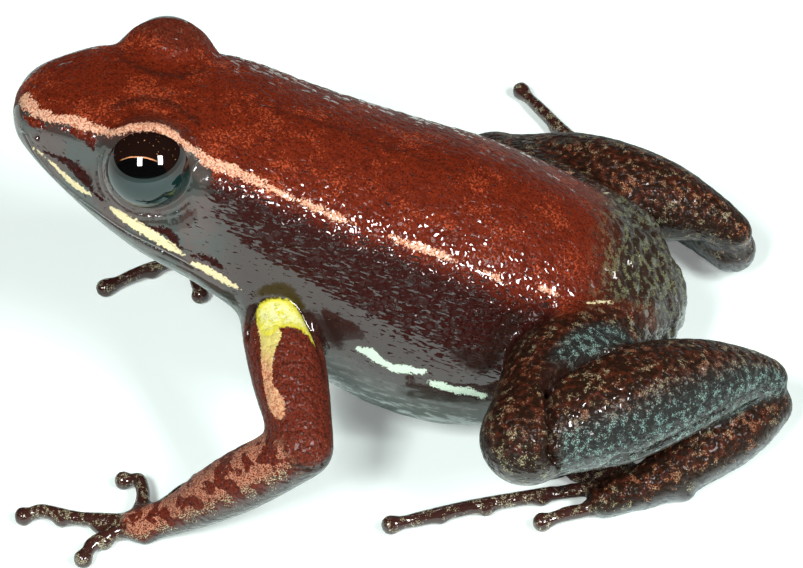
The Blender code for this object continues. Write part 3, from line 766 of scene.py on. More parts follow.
MINT = [
    [
        (360, 349, 0.1),
        (369, 353, 0.2),
        (378, 360, 0.16),
        (388, 365, 0.1),
        (397, 369, 0.17),
        (410, 370, 0.17),
        (422, 371, 0.06),
    ],
    [(432, 383, 0.12), (440, 386, 0.14), (457, 390, 0.1), (470, 392, 0.13), (484, 396, 0.1)],
]
FLASH = [
    [(262, 313, 0.3), (271, 314, 0.62), (283, 314, 0.58), (293, 318, 0.4)]
    + [(302, 324, 0.28), (309, 334, 0.16)],
    [(309, 334, 0.16), (313, 341, 0.1), (317, 348, 0.04)],
    [(266, 320, 0.38), (268, 329, 0.32)],
]
print("stripe parts", len(STRIPE), "lip bars", len(LIP))

# %% [markdown]
# ### Painted shade, teal and olive places
#
# Black painted shade lies behind the arm and before the knee, where the skin folds in. The
# calf is teal near the knee, the yellow spot has an olive edge, and a cream band runs down
# the arm. A matt spot behind the eye is painted the grey that the floor's reflection gives
# the face round it, a short cream line marks the groin, and a faint dark arc of painted
# shade marks the crease over the upper lid. The teal and a thin dark line along the back
# are on the left only.

# %% Places of the other marks
# Painted shade: black where the skin folds in, behind the arm and before the knee
HOLLOW_SHADE_PLACES = [
    [(306, 312, 0.1), (320, 322, 0.32), (331, 334, 0.42), (338, 345, 0.25)],
    [(455, 352, 0.25), (468, 357, 0.45), (482, 364, 0.5), (492, 356, 0.5)],
    [(492, 356, 0.5), (502, 335, 0.5), (514, 316, 0.3)],
    [(544, 382, 0.25), (551, 370, 0.42), (562, 362, 0.3)],
]
# Painted reflection: a matt spot behind the eye, painted the grey that the floor's reflection gives
# the face round it
REFLECTION_GREY_SPOT = [[(191, 160, 0.22), (198, 169, 0.32), (204, 178, 0.3)]]
TEAL_PATCH = [[(556, 360, 0.3), (572, 350, 0.6), (592, 340, 0.7), (615, 335, 0.5), (630, 342, 0.3)]]
GROIN = [[(588, 303, 0.04), (600, 303, 0.1), (612, 303, 0.04)]]
OLIVE_EDGE = [[(258, 294, 0.12), (268, 290, 0.25), (282, 289, 0.3), (294, 296, 0.2), (303, 307, 0.1)]]
ARM_BAND = [
    [(264, 322, 0.3), (270, 335, 0.42), (268, 346, 0.32), (267, 360, 0.25), (267, 373, 0.2)],
    [(267, 373, 0.2), (269, 388, 0.22), (273, 398, 0.32), (277, 406, 0.34), (280, 414, 0.18)],
]
# The dark line along the back is pigment
BACK_LINE = [(255, 102, 0.05), (285, 113, 0.08), (322, 124, 0.1)]
BACK_LINE += [(373, 142, 0.1), (424, 160, 0.1), (465, 174, 0.05)]
# Painted shade: a faint dark arc where a shallow crease runs over the upper lid
LID_CREASE_SHADE = [(112, 107, 0.1), (132, 101, 0.15), (153, 99, 0.18), (176, 106, 0.18), (196, 121, 0.12)]

stripe_trails = [trail(places, drop=RIGHT_DROP) for places in STRIPE]
BOTH_SIDES = {
    "lip": LIP + GROIN,
    "patch": FACE_PATCHES,
    "mint": MINT,
    "flash": FLASH,
    "matt": REFLECTION_GREY_SPOT,
    "band": ARM_BAND,
    "hollow": HOLLOW_SHADE_PLACES,
    "olive": OLIVE_EDGE,
}
marks = {name: depth_in([trail(places) for places in rows]) for name, rows in BOTH_SIDES.items()}
marks["stripe"] = depth_in(stripe_trails)
marks["teal"] = depth_in([trail(places, False) for places in TEAL_PATCH])
# The back line is pigment, and the arc over the lid is painted shade
marks["dark"] = depth_in([trail(BACK_LINE, False), trail(LID_CREASE_SHADE)])
print("marks", {name: int((depth > 0).sum()) for name, depth in marks.items()})

# %% [markdown]
# ## Regions of the skin
#
# The back, the flank, the face, the belly and the limbs differ in colour and in grain.
# Each skin point learns how high it stands above the stripe, how far round the body it
# lies, which limb it belongs to and how much its surface looks upwards and outwards.
# Averaging these numbers over the neighbours makes the regions fade into each other.

# %% Regions
REGION_ROUNDS = 12
OFF_BODY = (0.3, 1.1)
BACK_AROUND = 0.45
SURE_LIMB = 0.9


def closeness(paths):
    """Distance from the nearest limb axis as a share of the radius there."""
    best = np.full(len(base_points), FAR_AWAY)
    for path in paths:
        rows = curve_through(path, STEPS_PER_JOINT)
        for some, far in near_rows(rows):
            best[some] = np.minimum(best[some], (far / rows[:, 3]).min(1))
    return best


body_tree = KDTree(body_rings.shape[0] * body_rings.shape[1])
for number, point in enumerate(body_rings.reshape(-1, 3)):
    body_tree.insert(point, number)
body_tree.balance()
found = [body_tree.find(point)[1:] for point in base_points.tolist()]
ring_number = np.array([hit[0] for hit in found]) % RING_SIDES
off_body = np.array([hit[1] for hit in found])
around = 1 - np.abs(ring_number / RING_SIDES - 0.5) * 2

LIMB_PARTS = ("upper_arm", "forearm", "thigh", "shank", "foot")
limb = smooth_step(*OFF_BODY, off_body)
near_parts = []
for part in LIMB_PARTS:
    near_parts.append(closeness([path for name, path in LIMBS.items() if name.startswith(part)]))
near_parts.append(closeness(list(DIGITS.values())))
nearest = np.argmin(np.column_stack(near_parts), axis=1)
normals = np.empty(len(base_points) * 3)
skin.data.vertices.foreach_get("normal", normals)
normals = normals.reshape(-1, 3)

line = np.vstack(stripe_trails)
line = line[line[:, 1] < 0]
line = line[np.argsort(line[:, 0])]
above = base_points[:, 2] - np.interp(base_points[:, 0], line[:, 0], line[:, 2])
inward = np.interp(base_points[:, 0], line[:, 0], -line[:, 1]) - np.abs(base_points[:, 1])
above = np.where(around < BACK_AROUND, np.maximum(above, inward), above)

# The thigh has the colours of the whole leg, so it needs no region of its own
regions = {part: limb * (nearest == number) for number, part in enumerate(LIMB_PARTS)}
del regions["thigh"]
regions["digit"] = (nearest == len(LIMB_PARTS)) * (limb > SURE_LIMB)
outward = normals[:, 1] * np.sign(base_points[:, 1])
regions.update(limb=limb, upward=normals[:, 2], outward=outward, around=around, above=above)
faded = blur(np.column_stack(list(regions.values())), neighbours(skin.data), REGION_ROUNDS)
regions = dict(zip(regions, faded.T))
print("regions", sorted(regions))

# %% [markdown]
# ## Mouth, nostrils, lid folds and creases
#
# The mouth shows as a fine groove below a thin ridge, the edge of the upper lip. Two small
# pits are the nostrils. Round the eye the loose lower lid lies in thin folds that follow
# the ball. Where a folded leg touches itself, a deep crease parts thigh, calf and ankle.
# Their places come first, read off the picture like those of the marks.

# %% Places of mouth, nostrils, folds and creases
MOUTH = [(24, 134), (31, 148), (40, 161), (52, 175), (69, 191)]
MOUTH += [(96, 212), (120, 229), (151, 246), (176, 259), (192, 268)]
NOSTRIL = (37, 137)
LID_FOLDS = [
    [(104, 150), (101, 160), (101, 172), (104, 185), (111, 197), (121, 206), (134, 213), (148, 215)],
    [(148, 215), (163, 215), (178, 210), (190, 201)],
    [(97, 158), (96, 170), (98, 184), (104, 197)],
    [(118, 211), (132, 218), (148, 220), (164, 220), (180, 216), (193, 206)],
]
# Creases: places in the picture, depth and width in millimetres, on both sides or one
CREASES = [
    ([(547, 384), (549, 400), (551, 420), (553, 440), (556, 462), (560, 478)], 0.5, 0.16, False),
    ([(547, 386), (556, 375), (569, 366), (582, 359), (602, 352), (622, 347)], 0.5, 0.2, False),
    ([(558, 480), (582, 473), (613, 464), (635, 457), (657, 447)], 0.3, 0.2, False),
    ([(657, 447), (679, 436), (700, 425), (722, 412), (744, 401), (764, 392)], 0.3, 0.2, False),
    ([(288, 299), (300, 309), (310, 327), (317, 345), (322, 362), (324, 375)], 0.2, 0.1, True),
    ([(254, 303), (249, 320), (247, 338)], 0.15, 0.14, True),
    ([(298, 466), (308, 470), (318, 468), (326, 462)], 0.1, 0.07, True),
]
print("lid folds", len(LID_FOLDS), "creases", len(CREASES))

# %% [markdown]
# ### Sculpting along the normals
#
# Sculpting by hand would be the usual way. Here each detail is a small move of the skin
# along its normals, a function of the distance from a line or a spot, so a depth or a
# width can be changed and the whole face built again.

# %% Sculpt the face and the creases
MOUTH_DEPTH = 0.2
MOUTH_WIDTH = 0.07
LIP_RIDGE = 0.07
LIP_RIDGE_UP = 0.17
# Height above the mouth and width of the painted highlight along the lip's ridge
LIP_HIGHLIGHT_UP = 0.13
LIP_HIGHLIGHT_WIDTH = 0.05
NOSTRIL_RADIUS = 0.1
NOSTRIL_DEPTH = 0.3
NOSTRIL_RIM = 0.03
NOSTRIL_RIM_OUT = 0.24
NOSTRIL_RIM_WIDTH = 0.08
FOLD_DEPTH = 0.1
FOLD_WIDTH = 0.05
LID_TURNS = (112, 95)
LID_REACH = 2.5


def hump(distance, width):
    """1 on a line, falling to 0 about two widths away."""
    return np.exp(-((distance / width) ** 2))


def beside(places, both_sides=True):
    """Distance from a line in the picture and height above it, for every skin point."""
    rows = trail([(*place, 0) for place in places], both_sides)
    far = np.full(len(base_points), FAR_AWAY)
    over = np.zeros(len(base_points))
    for some, apart in near_rows(rows):
        far[some] = apart.min(1)
        over[some] = base_points[some, 2] - rows[apart.argmin(1), 2]
    return far, over


push = np.zeros(len(base_points))
mouth_near, over = beside(MOUTH)
# Painted highlight: a pale line along the upper lip's ridge, just above the mouth
lip_edge = hump(mouth_near - LIP_HIGHLIGHT_UP, LIP_HIGHLIGHT_WIDTH) * smooth_step(0, 0.06, over)
push -= MOUTH_DEPTH * hump(mouth_near, MOUTH_WIDTH)
push += LIP_RIDGE * hump(mouth_near - LIP_RIDGE_UP, MOUTH_WIDTH) * smooth_step(0, 0.1, over)
nostril_hit = on_skin(*NOSTRIL)
pit_near = np.full(len(base_points), FAR_AWAY)
for spot in (nostril_hit, Vector(mirrored(nostril_hit))):
    far = np.linalg.norm(base_points - np.array(spot), axis=1)
    pit_near = np.minimum(pit_near, far)
    push -= NOSTRIL_DEPTH * hump(far, NOSTRIL_RADIUS)
    push += NOSTRIL_RIM * hump(far - NOSTRIL_RIM_OUT, NOSTRIL_RIM_WIDTH)
lid_share = np.zeros(len(base_points))
for centre, facing, _ in eyes:
    away = base_points - centre
    far = np.linalg.norm(away, axis=1)
    forward = away @ np.array(Vector(facing).normalized()) / far
    turn = np.degrees(np.arccos(np.clip(forward, -1, 1)))
    lid_share = np.maximum(lid_share, smooth_step(*LID_TURNS, turn) * (far < LID_REACH))
fold_near = np.full(len(base_points), FAR_AWAY)
for places in LID_FOLDS:
    far, over = beside(places)
    push -= FOLD_DEPTH * hump(far, FOLD_WIDTH)
    fold_near = np.minimum(fold_near, far)
crease_near = np.full(len(base_points), FAR_AWAY)
for places, depth, width, both in CREASES:
    far, over = beside(places, both)
    push -= depth * hump(far, width)
    crease_near = np.minimum(crease_near, far)
print("creases and folds, mm", round(push.min(), 3), round(push.max(), 3))

# %% [markdown]
# ## Granules
#
# The back and flanks are covered with tiny domes, longer along the body on the flank. The
# face is smooth, the belly and soles are softly wavy, and the rump lies in upright folds.
# All of it is domes of different sizes and stretch, each the space round one of many
# scattered seeds. They are real geometry, so they also show along the outline. The finest
# grain and the sparkle on it come later, in the material.

# %% Granules on back, flank and legs
GRANULE = 0.42
BACK_HEIGHT = 0.022
FLANK_HEIGHT = 0.05
BELLY_WAVE = 0.05
RUMP_FOLD = 0.15
FACE_BORDER = (-7.6, -6.9)
RUMP_BORDER = (6.6, 9.0)
RUMP_LEAN = 0.35
RUMP_LEVEL = 5
BELLY_AROUND = (0.60, 0.76)
BELLY_BORDER = (-6.5, -3.5)
# How far below the stripe the granules reach, in millimetres, at some places along X
REACH_PLACES = [-7.6, -6.8, -5.0, -2.0, 2.0, 6.0, 10.0]
REACH_BELOW = [0.02, 1.2, 2.2, 4.2, 6.2, 6.0, 5.0]
# How the granules end: round the stripe, on the flank, on limbs and at the soles' sides
BACK_EDGE = (-0.15, 0.1)
FLANK_FADE = (0.25, 1.15)
LIMB_TOP = (-0.5, 0.3)
SOLE_SIDE = (0.3, -0.2)
LIMB_ROUGH = 0.75
FOOT_ROUGH = 0.45
DOME_REACH = 0.6
# Numbers that turn a cell's place into one that looks random but is always the same
SCATTER_BASE = (73856093, 19349663, 83492791)
SCATTER_SEED = 7919
SCATTER_CYCLE = 10007
SCATTER_TURN = 12.9898
SCATTER_TURN_STEP = 7.13
SCATTER_SPREAD = 43758.5453


def scattered(cells, seed):
    """Three repeatable random numbers from 0 to 1 for each cell."""
    mixed = ((cells * SCATTER_BASE).sum(1) + seed * SCATTER_SEED) % SCATTER_CYCLE
    columns = []
    for k in range(3):
        swing = np.sin(mixed * (SCATTER_TURN + SCATTER_TURN_STEP * k)) * SCATTER_SPREAD
        columns.append(np.modf(swing)[0] % 1)
    return np.column_stack(columns)


def domes(places, size, stretch, seed):
    """Height of packed domes, from 0 between them to 1 on their tops."""
    cells = places / (np.array(stretch) * size)
    corner = np.floor(cells).astype(int)
    best = np.full(len(places), FAR_AWAY)
    for number in range(27):
        cell = corner + (number % 3 - 1, number // 3 % 3 - 1, number // 9 - 1)
        apart = cell + scattered(cell, seed) - cells
        best = np.minimum(best, (apart**2).sum(1))
    return np.clip(1 - best / DOME_REACH, 0, 1)


x = base_points[:, 0]
limb, upward = regions["limb"], regions["upward"]
above, around = regions["above"], regions["around"]
below = -above
reach = np.interp(x, REACH_PLACES, REACH_BELOW)
behind_face = smooth_step(*FACE_BORDER, x)
flank = 1 - smooth_step(reach * FLANK_FADE[0], reach * FLANK_FADE[1], below)
flank = flank * behind_face
back = smooth_step(*BACK_EDGE, above)
limb_grain = limb * (1 - regions["foot"]) * (1 - regions["digit"]) * smooth_step(*LIMB_TOP, upward)
rump_place = x - RUMP_LEAN * (base_points[:, 2] - RUMP_LEVEL)
rump = smooth_step(*RUMP_BORDER, rump_place) * (1 - limb)
rough = np.maximum(back, (1 - back) * flank) * (1 - limb)
rough = rough + limb_grain * LIMB_ROUGH + regions["foot"] * FOOT_ROUGH
rough = rough * (1 - 0.9 * lid_share * (1 - back))
flank_only = (1 - back) * flank * (1 - limb)
belly = smooth_step(*BELLY_AROUND, around) * (1 - limb)
under_belly = belly * smooth_step(*BELLY_BORDER, x)
sole_side = regions["foot"] * smooth_step(*SOLE_SIDE, upward)
# Where, how high, how large and how stretched along X, Y and Z
GRAINS = [
    (flank_only, FLANK_HEIGHT, GRANULE * 0.7, (1.8, 1, 0.9)),
    (back * (1 - limb), BACK_HEIGHT, GRANULE, (1, 1, 1)),
    (limb_grain, BACK_HEIGHT, GRANULE * 0.9, (1, 1, 1)),
    (under_belly, BELLY_WAVE, 0.7, (2.2, 1, 0.6)),
    (rump, RUMP_FOLD, 0.6, (0.45, 0.8, 2.0)),
    (sole_side, BELLY_WAVE, 0.45, (2.0, 1, 0.7)),
]
for seed, (share, height, size, stretch) in enumerate(GRAINS, 1):
    push += share * height * domes(base_points, size, stretch, seed)
shaped = base_points + normals * push[:, None]
shaped[:, 2] = np.maximum(shaped[:, 2], 0)
put_points(skin.data, shaped)
print("granules raised on", int((rough > 0.3).sum()), "points")

# %% [markdown]
# ## Store the numbers and thin the mesh
#
# The marks and regions are stored on the mesh, where the material reads them. Painting them
# into a picture would need an unwrapped skin, and these numbers don't. Decimate then thins
# the mesh: it keeps triangles where the form turns quickly, most of them on the head, and
# few underneath.

# %% Attributes and thinning
SKIN_TRIANGLES = 197000
# Half widths of the painted shade in mouth, nostrils, lid folds and creases
MOUTH_SHADE_WIDTH = 0.06
NOSTRIL_SHADE_WIDTH = 0.13
FOLD_SHADE_WIDTH = 0.04
CREASE_SHADE_WIDTH = 0.16
# Shares of thinning: on what the camera sees, more on what it doesn't, less on the face
SEEN_THINNING = 0.12
UNSEEN_THINNING = 0.75
FACE_SPARED = 0.8
stored = {**marks, **regions, "rough": rough, "belly": belly, "rump": rump, "lip_edge": lip_edge}
# Painted shade: dark in the mouth's groove, in the nostril pits and in the lid folds
stored["slit"] = np.maximum(hump(mouth_near, MOUTH_SHADE_WIDTH), hump(pit_near, NOSTRIL_SHADE_WIDTH))
stored["slit"] = np.maximum(stored["slit"], hump(fold_near, FOLD_SHADE_WIDTH) * 0.8)
# Painted shade in the creases of the folded legs
stored["crease"] = hump(crease_near, CREASE_SHADE_WIDTH)
for name, values in stored.items():
    attribute = skin.data.attributes.new(name, "FLOAT", "POINT")
    attribute.data.foreach_set("value", values.astype(np.float32))
seen = normals @ np.array(BACKWARD)
coarse = SEEN_THINNING + UNSEEN_THINNING * smooth_step(0.15, -0.25, seen)
coarse = coarse * (1 - FACE_SPARED * fine_places(base_points))
group = skin.vertex_groups.new(name="coarse")
steps = np.clip((coarse * 10).round() / 10, 0, 1)
for weight in np.unique(steps):
    group.add(np.flatnonzero(steps == weight).tolist(), float(weight), "REPLACE")
skin.data.calc_loop_triangles()
thin = skin.modifiers.new("thin", "DECIMATE")
thin.ratio = SKIN_TRIANGLES / len(skin.data.loop_triangles)
thin.vertex_group = "coarse"
thin.vertex_group_factor = 1.0
settle(skin)
skin.vertex_groups.clear()
settled = points_of(skin.data)
settled[:, 2] = np.maximum(settled[:, 2], 0)
put_points(skin.data, settled)
skin.data.transform(TO_METRES)
skin.data.shade_smooth()
skin.data.calc_loop_triangles()
print("skin triangles", len(skin.data.loop_triangles))

# %% [markdown]
# ## The eyeballs
#
# Each eye is a smooth wet ball, dark brown with a long black pupil whose upper edge has a
# thin copper line. The dome runs a little deeper than its lids, so no gap shows. The
# painted pattern reads two numbers stored on each ball: how far a point lies from the
# pupil's centre across and up.

# %% Eyeballs
PUPIL_FACING_LEFT = (-0.10, -0.93, 0.36)
PUPIL_FACING_RIGHT = (-0.10, 0.98, 0.15)
EYEBALL_DEPTH = -0.5
EYEBALL_SIDES = 96


def make_eyeball(name, centre, facing, pupil):
    """A dome with its pupil's own coordinates stored on it."""
    bm = bmesh.new()
    cut_ball(bm, centre, facing, EYEBALL_RADIUS, EYEBALL_DEPTH, EYEBALL_SIDES)
    eyeball = link(bm, name)
    mesh = eyeball.data
    away = (points_of(mesh) - centre) / EYEBALL_RADIUS
    axis = Vector(pupil).normalized()
    across = axis.cross(Vector((0, 0, 1))).normalized()
    over = across.cross(axis)
    for key, direction in (("across", across), ("over", over)):
        attribute = mesh.attributes.new(key, "FLOAT", "POINT")
        attribute.data.foreach_set("value", (away @ np.array(direction)).astype(np.float32))
    mesh.transform(TO_METRES)
    mesh.shade_smooth()
    return eyeball


eyeball_left = make_eyeball("eyeball_left", *eyes[0][:2], PUPIL_FACING_LEFT)
eyeball_right = make_eyeball("eyeball_right", *eyes[1][:2], PUPIL_FACING_RIGHT)
print("eyeballs", len(eyeball_left.data.polygons))

# %% [markdown]
# ## Small helpers for materials
#
# A material can be wired by hand in the node editor, but this skin has a few hundred nodes.
# A node with its inputs set in one call keeps the recipes short. A ramp's numbers are where
# it starts and ends, and then what it gives at either end.

# %% Node helpers
def add(tree, kind, inputs=None, **settings):
    """A node with its own settings and with its inputs set or linked."""
    node = tree.nodes.new(kind)
    for name, value in settings.items():
        setattr(node, name, value)
    for key, value in (inputs or {}).items():
        if isinstance(value, bpy.types.NodeSocket):
            tree.links.new(value, node.inputs[key])
        else:
            node.inputs[key].default_value = value
    return node


def maths(tree, operation, a, b=0.0, clamp=False):
    """The result of one sum."""
    return add(tree, "ShaderNodeMath", {0: a, 1: b}, operation=operation, use_clamp=clamp).outputs[0]


def ramp(tree, value, low, high, start=0.0, end=1.0):
    """A soft ramp of a value from start at low to end at high."""
    inputs = {0: value, 1: low, 2: high, 3: start, 4: end}
    return add(tree, "ShaderNodeMapRange", inputs, interpolation_type="SMOOTHSTEP").outputs[0]


def blend(tree, share, one, two):
    """One colour passing into another."""
    inputs = {0: share, 6: one, 7: two}
    return add(tree, "ShaderNodeMix", inputs, data_type="RGBA").outputs[2]


def product(tree, first, *others):
    """Several masks multiplied."""
    for other in others:
        first = maths(tree, "MULTIPLY", first, other)
    return first


def stored_value(tree, name):
    """A number stored on the mesh."""
    return add(tree, "ShaderNodeAttribute", attribute_name=name).outputs["Fac"]


def noise(tree, place, size, detail=2.0, roughness=0.5):
    """Cloudy noise from 0 to 1 with features of about size millimetres."""
    inputs = {"Vector": place, "Scale": 1 / size, "Detail": detail, "Roughness": roughness}
    return add(tree, "ShaderNodeTexNoise", inputs).outputs[0]


def use(tree, group, output="Mask", **inputs):
    """What a node group puts out."""
    return add(tree, "ShaderNodeGroup", inputs, node_tree=group).outputs[output]


print("node helpers ready")

# %% [markdown]
# ### Three effects used again and again
#
# Fine specks of pigment cover a share of the surface that is an input. A mark has an edge
# frayed by noise. Packed domes are the finest granules, and each has a random number, so
# that a few of them can sparkle. Each effect is a node group, built once.

# %% Node groups
def new_group(name, inputs, outputs):
    """An empty node group with its sockets and its two end nodes."""
    tree = bpy.data.node_groups.new(name, "ShaderNodeTree")
    for label, kind in inputs:
        tree.interface.new_socket(label, in_out="INPUT", socket_type=kind)
    for label, kind in outputs:
        tree.interface.new_socket(label, in_out="OUTPUT", socket_type=kind)
    return tree, tree.nodes.new("NodeGroupInput"), tree.nodes.new("NodeGroupOutput")


FLOAT = "NodeSocketFloat"
VECTOR = "NodeSocketVector"


def speck_group():
    """Group: irregular specks that cover a share of the surface."""
    inputs = [("Place", VECTOR), ("Size", FLOAT), ("Share", FLOAT)]
    tree, start, end = new_group("pigment specks", inputs, [("Mask", FLOAT)])
    scale = maths(tree, "DIVIDE", 1.0, start.outputs["Size"])
    inputs = {"Vector": start.outputs["Place"], "Scale": scale, "Detail": 1.5, "Roughness": 0.6}
    grain = add(tree, "ShaderNodeTexNoise", inputs).outputs[0]
    limit = ramp(tree, start.outputs["Share"], 0.0, 1.0, 0.78, 0.26)
    mask = ramp(tree, maths(tree, "SUBTRACT", grain, limit), -0.035, 0.035)
    tree.links.new(mask, end.inputs["Mask"])
    return tree


def mark_group():
    """Group: 1 inside a mark and 0 outside, with an edge frayed by noise."""
    inputs = [("Depth", FLOAT), ("Fray", FLOAT), ("Reach", FLOAT), ("Softness", FLOAT)]
    tree, start, end = new_group("ragged mark", inputs, [("Mask", FLOAT)])
    swing = maths(tree, "SUBTRACT", start.outputs["Fray"], 0.5)
    swing = maths(tree, "MULTIPLY", swing, start.outputs["Reach"])
    depth = maths(tree, "ADD", start.outputs["Depth"], swing)
    share = maths(tree, "DIVIDE", depth, start.outputs["Softness"])
    tree.links.new(ramp(tree, share, -1.0, 1.0), end.inputs["Mask"])
    return tree


def dome_group():
    """Group: packed round domes, 1 on their tops, and a random number for each dome."""
    sockets = [("Mask", FLOAT), ("Chance", FLOAT)]
    tree, start, end = new_group("packed domes", [("Place", VECTOR), ("Size", FLOAT)], sockets)
    scale = maths(tree, "DIVIDE", 1.0, start.outputs["Size"])
    cells = add(tree, "ShaderNodeTexVoronoi", {"Vector": start.outputs["Place"], "Scale": scale})
    away = cells.outputs["Distance"]
    fall = maths(tree, "MULTIPLY", maths(tree, "MULTIPLY", away, away), 1.7)
    tree.links.new(maths(tree, "SUBTRACT", 1.0, fall, True), end.inputs["Mask"])
    chance = add(tree, "ShaderNodeSeparateColor", {0: cells.outputs["Color"]}).outputs[0]
    tree.links.new(chance, end.inputs["Chance"])
    return tree


SPECKS = speck_group()
MARK = mark_group()
DOMES = dome_group()
print("node groups", [group.name for group in bpy.data.node_groups])

# %% Places and new materials
def millimetre_place(tree):
    """Object coordinates in millimetres."""
    source = add(tree, "ShaderNodeTexCoord").outputs["Object"]
    inputs = {"Vector": source, "Scale": (1 / MM, 1 / MM, 1 / MM)}
    return add(tree, "ShaderNodeMapping", inputs).outputs[0]


def stretched(tree, place, turn, scale):
    """A place turned round the Y axis and then stretched."""
    turned = add(tree, "ShaderNodeMapping", {"Vector": place, "Rotation": (0, turn, 0)}).outputs[0]
    return add(tree, "ShaderNodeMapping", {"Vector": turned, "Scale": scale}).outputs[0]


def new_material(name):
    """A material with a plain Principled shader, and its tree."""
    material = bpy.data.materials.new(name)
    material.use_nodes = True
    tree = material.node_tree
    return material, tree, tree.nodes["Principled BSDF"]


print("material helpers ready")

# %% [markdown]
# ## The skin's colours
#
# The frog is mahogany above and nearly black on its sides. Smooth wet skin mirrors the pale
# floor and looks grey; where granules stand, the mirror breaks and the red pigment shows.
# So one mask, the granular flecks, steers colour, gloss and bump. Noise in several sizes
# makes it, and the stored roughness says where the flecks lie dense.

# %% Skin material: patterns
skin_material, tree, shader = new_material("frog_skin")
place = millimetre_place(tree)
split = add(tree, "ShaderNodeSeparateXYZ", {0: place})
x_place, z_place = split.outputs[0], split.outputs[2]
value = {name: stored_value(tree, name) for name in stored}
BODY_SLOPE = math.radians(24)
along = stretched(tree, place, -BODY_SLOPE, (0.36, 1.0, 1.25))
cloud = noise(tree, place, 1.6, 4, 0.6)
blotch = noise(tree, place, 0.5, 3, 0.6)
fray = noise(tree, place, 0.16, 3, 0.65)
grit = noise(tree, place, 0.085, 2, 0.7)
streak = noise(tree, along, 0.13, 2, 0.5)
densest = ramp(tree, value["above"], -0.4, 0.1, 0.41, 0.3)
limit = ramp(tree, value["rough"], 0.0, 1.0, 0.68, densest)
fleck = ramp(tree, maths(tree, "SUBTRACT", streak, limit), -0.02, 0.02)
patch = use(tree, MARK, Depth=value["patch"], Fray=fray, Reach=0.5, Softness=0.04)
fleck = maths(tree, "MAXIMUM", fleck, patch)
# The places drift a little before the domes are packed, so their cells aren't straight
DRIFT = 0.3
DRIFT_SCALE = 3.0
FINE_DOME = 0.3
inputs = {"Vector": place, "Scale": DRIFT_SCALE, "Detail": 1.0}
drift = add(tree, "ShaderNodeTexNoise", inputs).outputs["Color"]
inputs = {0: drift, 1: (DRIFT, DRIFT, DRIFT)}
drift = add(tree, "ShaderNodeVectorMath", inputs, operation="MULTIPLY").outputs[0]
drifted = add(tree, "ShaderNodeVectorMath", {0: place, 1: drift}, operation="ADD").outputs[0]
fine_domes = use(tree, DOMES, Place=drifted, Size=FINE_DOME)
dome_chance = use(tree, DOMES, "Chance", Place=drifted, Size=FINE_DOME)
print("patterns ready")

# %% [markdown]
# ### The trunk
#
# The back is red pigment on a darker ground, in grains finer than the granules. The flank
# is the same red darkened, laid on black. The face is grey brown with a breath of green,
# the rump dark olive with upright streaks, and the belly dark with pale blue green
# marbling. The regions are blended one over the other, since none has a hard border.

# %% Skin material: trunk colours
RED_SHADE = (0.042, 0.005, 0.002, 1)
RED_BASE = (0.122, 0.014, 0.004, 1)
RED_BRIGHT = (0.360, 0.062, 0.022, 1)
FLANK_BLACK = (0.022, 0.008, 0.006, 1)
FLANK_RED = (0.022, 0.003, 0.002, 1)
FACE_DARK = (0.050, 0.026, 0.022, 1)
FACE_GREEN = (0.028, 0.034, 0.030, 1)
BELLY_BLUE = (0.045, 0.060, 0.052, 1)
BELLY_PALE = (0.520, 0.600, 0.570, 1)
RUMP_DARK = (0.018, 0.013, 0.009, 1)
RUMP_OLIVE = (0.110, 0.120, 0.065, 1)
velvet = blend(tree, ramp(tree, grit, 0.36, 0.52), RED_SHADE, RED_BASE)
bright_share = ramp(tree, cloud, 0.35, 0.65, 0.14, 0.5)
bright = use(tree, SPECKS, Place=place, Size=0.09, Share=bright_share)
velvet = blend(tree, maths(tree, "MULTIPLY", bright, 0.7), velvet, RED_BRIGHT)
shade = ramp(tree, blotch, 0.36, 0.56, 0.35, 0.0)
back_colour = blend(tree, shade, velvet, RED_SHADE)
side_red = blend(tree, ramp(tree, value["above"], -0.7, 0.0), FLANK_RED, back_colour)
face = ramp(tree, x_place, -5.5, -7.5)
smear = ramp(tree, cloud, 0.4, 0.6)
wet_colour = blend(tree, face, FLANK_BLACK, blend(tree, smear, FACE_DARK, FACE_GREEN))
trunk = blend(tree, fleck, wet_colour, side_red)
mottle = noise(tree, place, 0.3, 3, 0.6)
upright = noise(tree, stretched(tree, place, 0, (1.8, 1.0, 0.5)), 0.4, 3)
rump_share = ramp(tree, upright, 0.4, 0.6, 0.06, 0.6)
rump_specks = use(tree, SPECKS, Place=place, Size=0.055, Share=rump_share)
rump_colour = blend(tree, rump_specks, RUMP_DARK, RUMP_OLIVE)
trunk = blend(tree, maths(tree, "MULTIPLY", value["rump"], 0.95), trunk, rump_colour)
pale = ramp(tree, noise(tree, along, 0.3, 3, 0.6), 0.5, 0.64)
pale = maths(tree, "MULTIPLY", pale, ramp(tree, value["around"], 0.66, 0.85, 0.15, 1.0))
belly_colour = blend(tree, pale, BELLY_BLUE, BELLY_PALE)
trunk = blend(tree, value["belly"], trunk, belly_colour)
print("trunk colours ready")

# %% [markdown]
# ### The limbs
#
# The limbs have a dark ground strewn with fine specks that look like metal: copper on the
# arms, gold green on top of the forearm and the digits, gold and copper on the legs, and
# teal on the calf's outer side. Specks stay separate points of colour close up, where a
# mixed colour would look like paint.

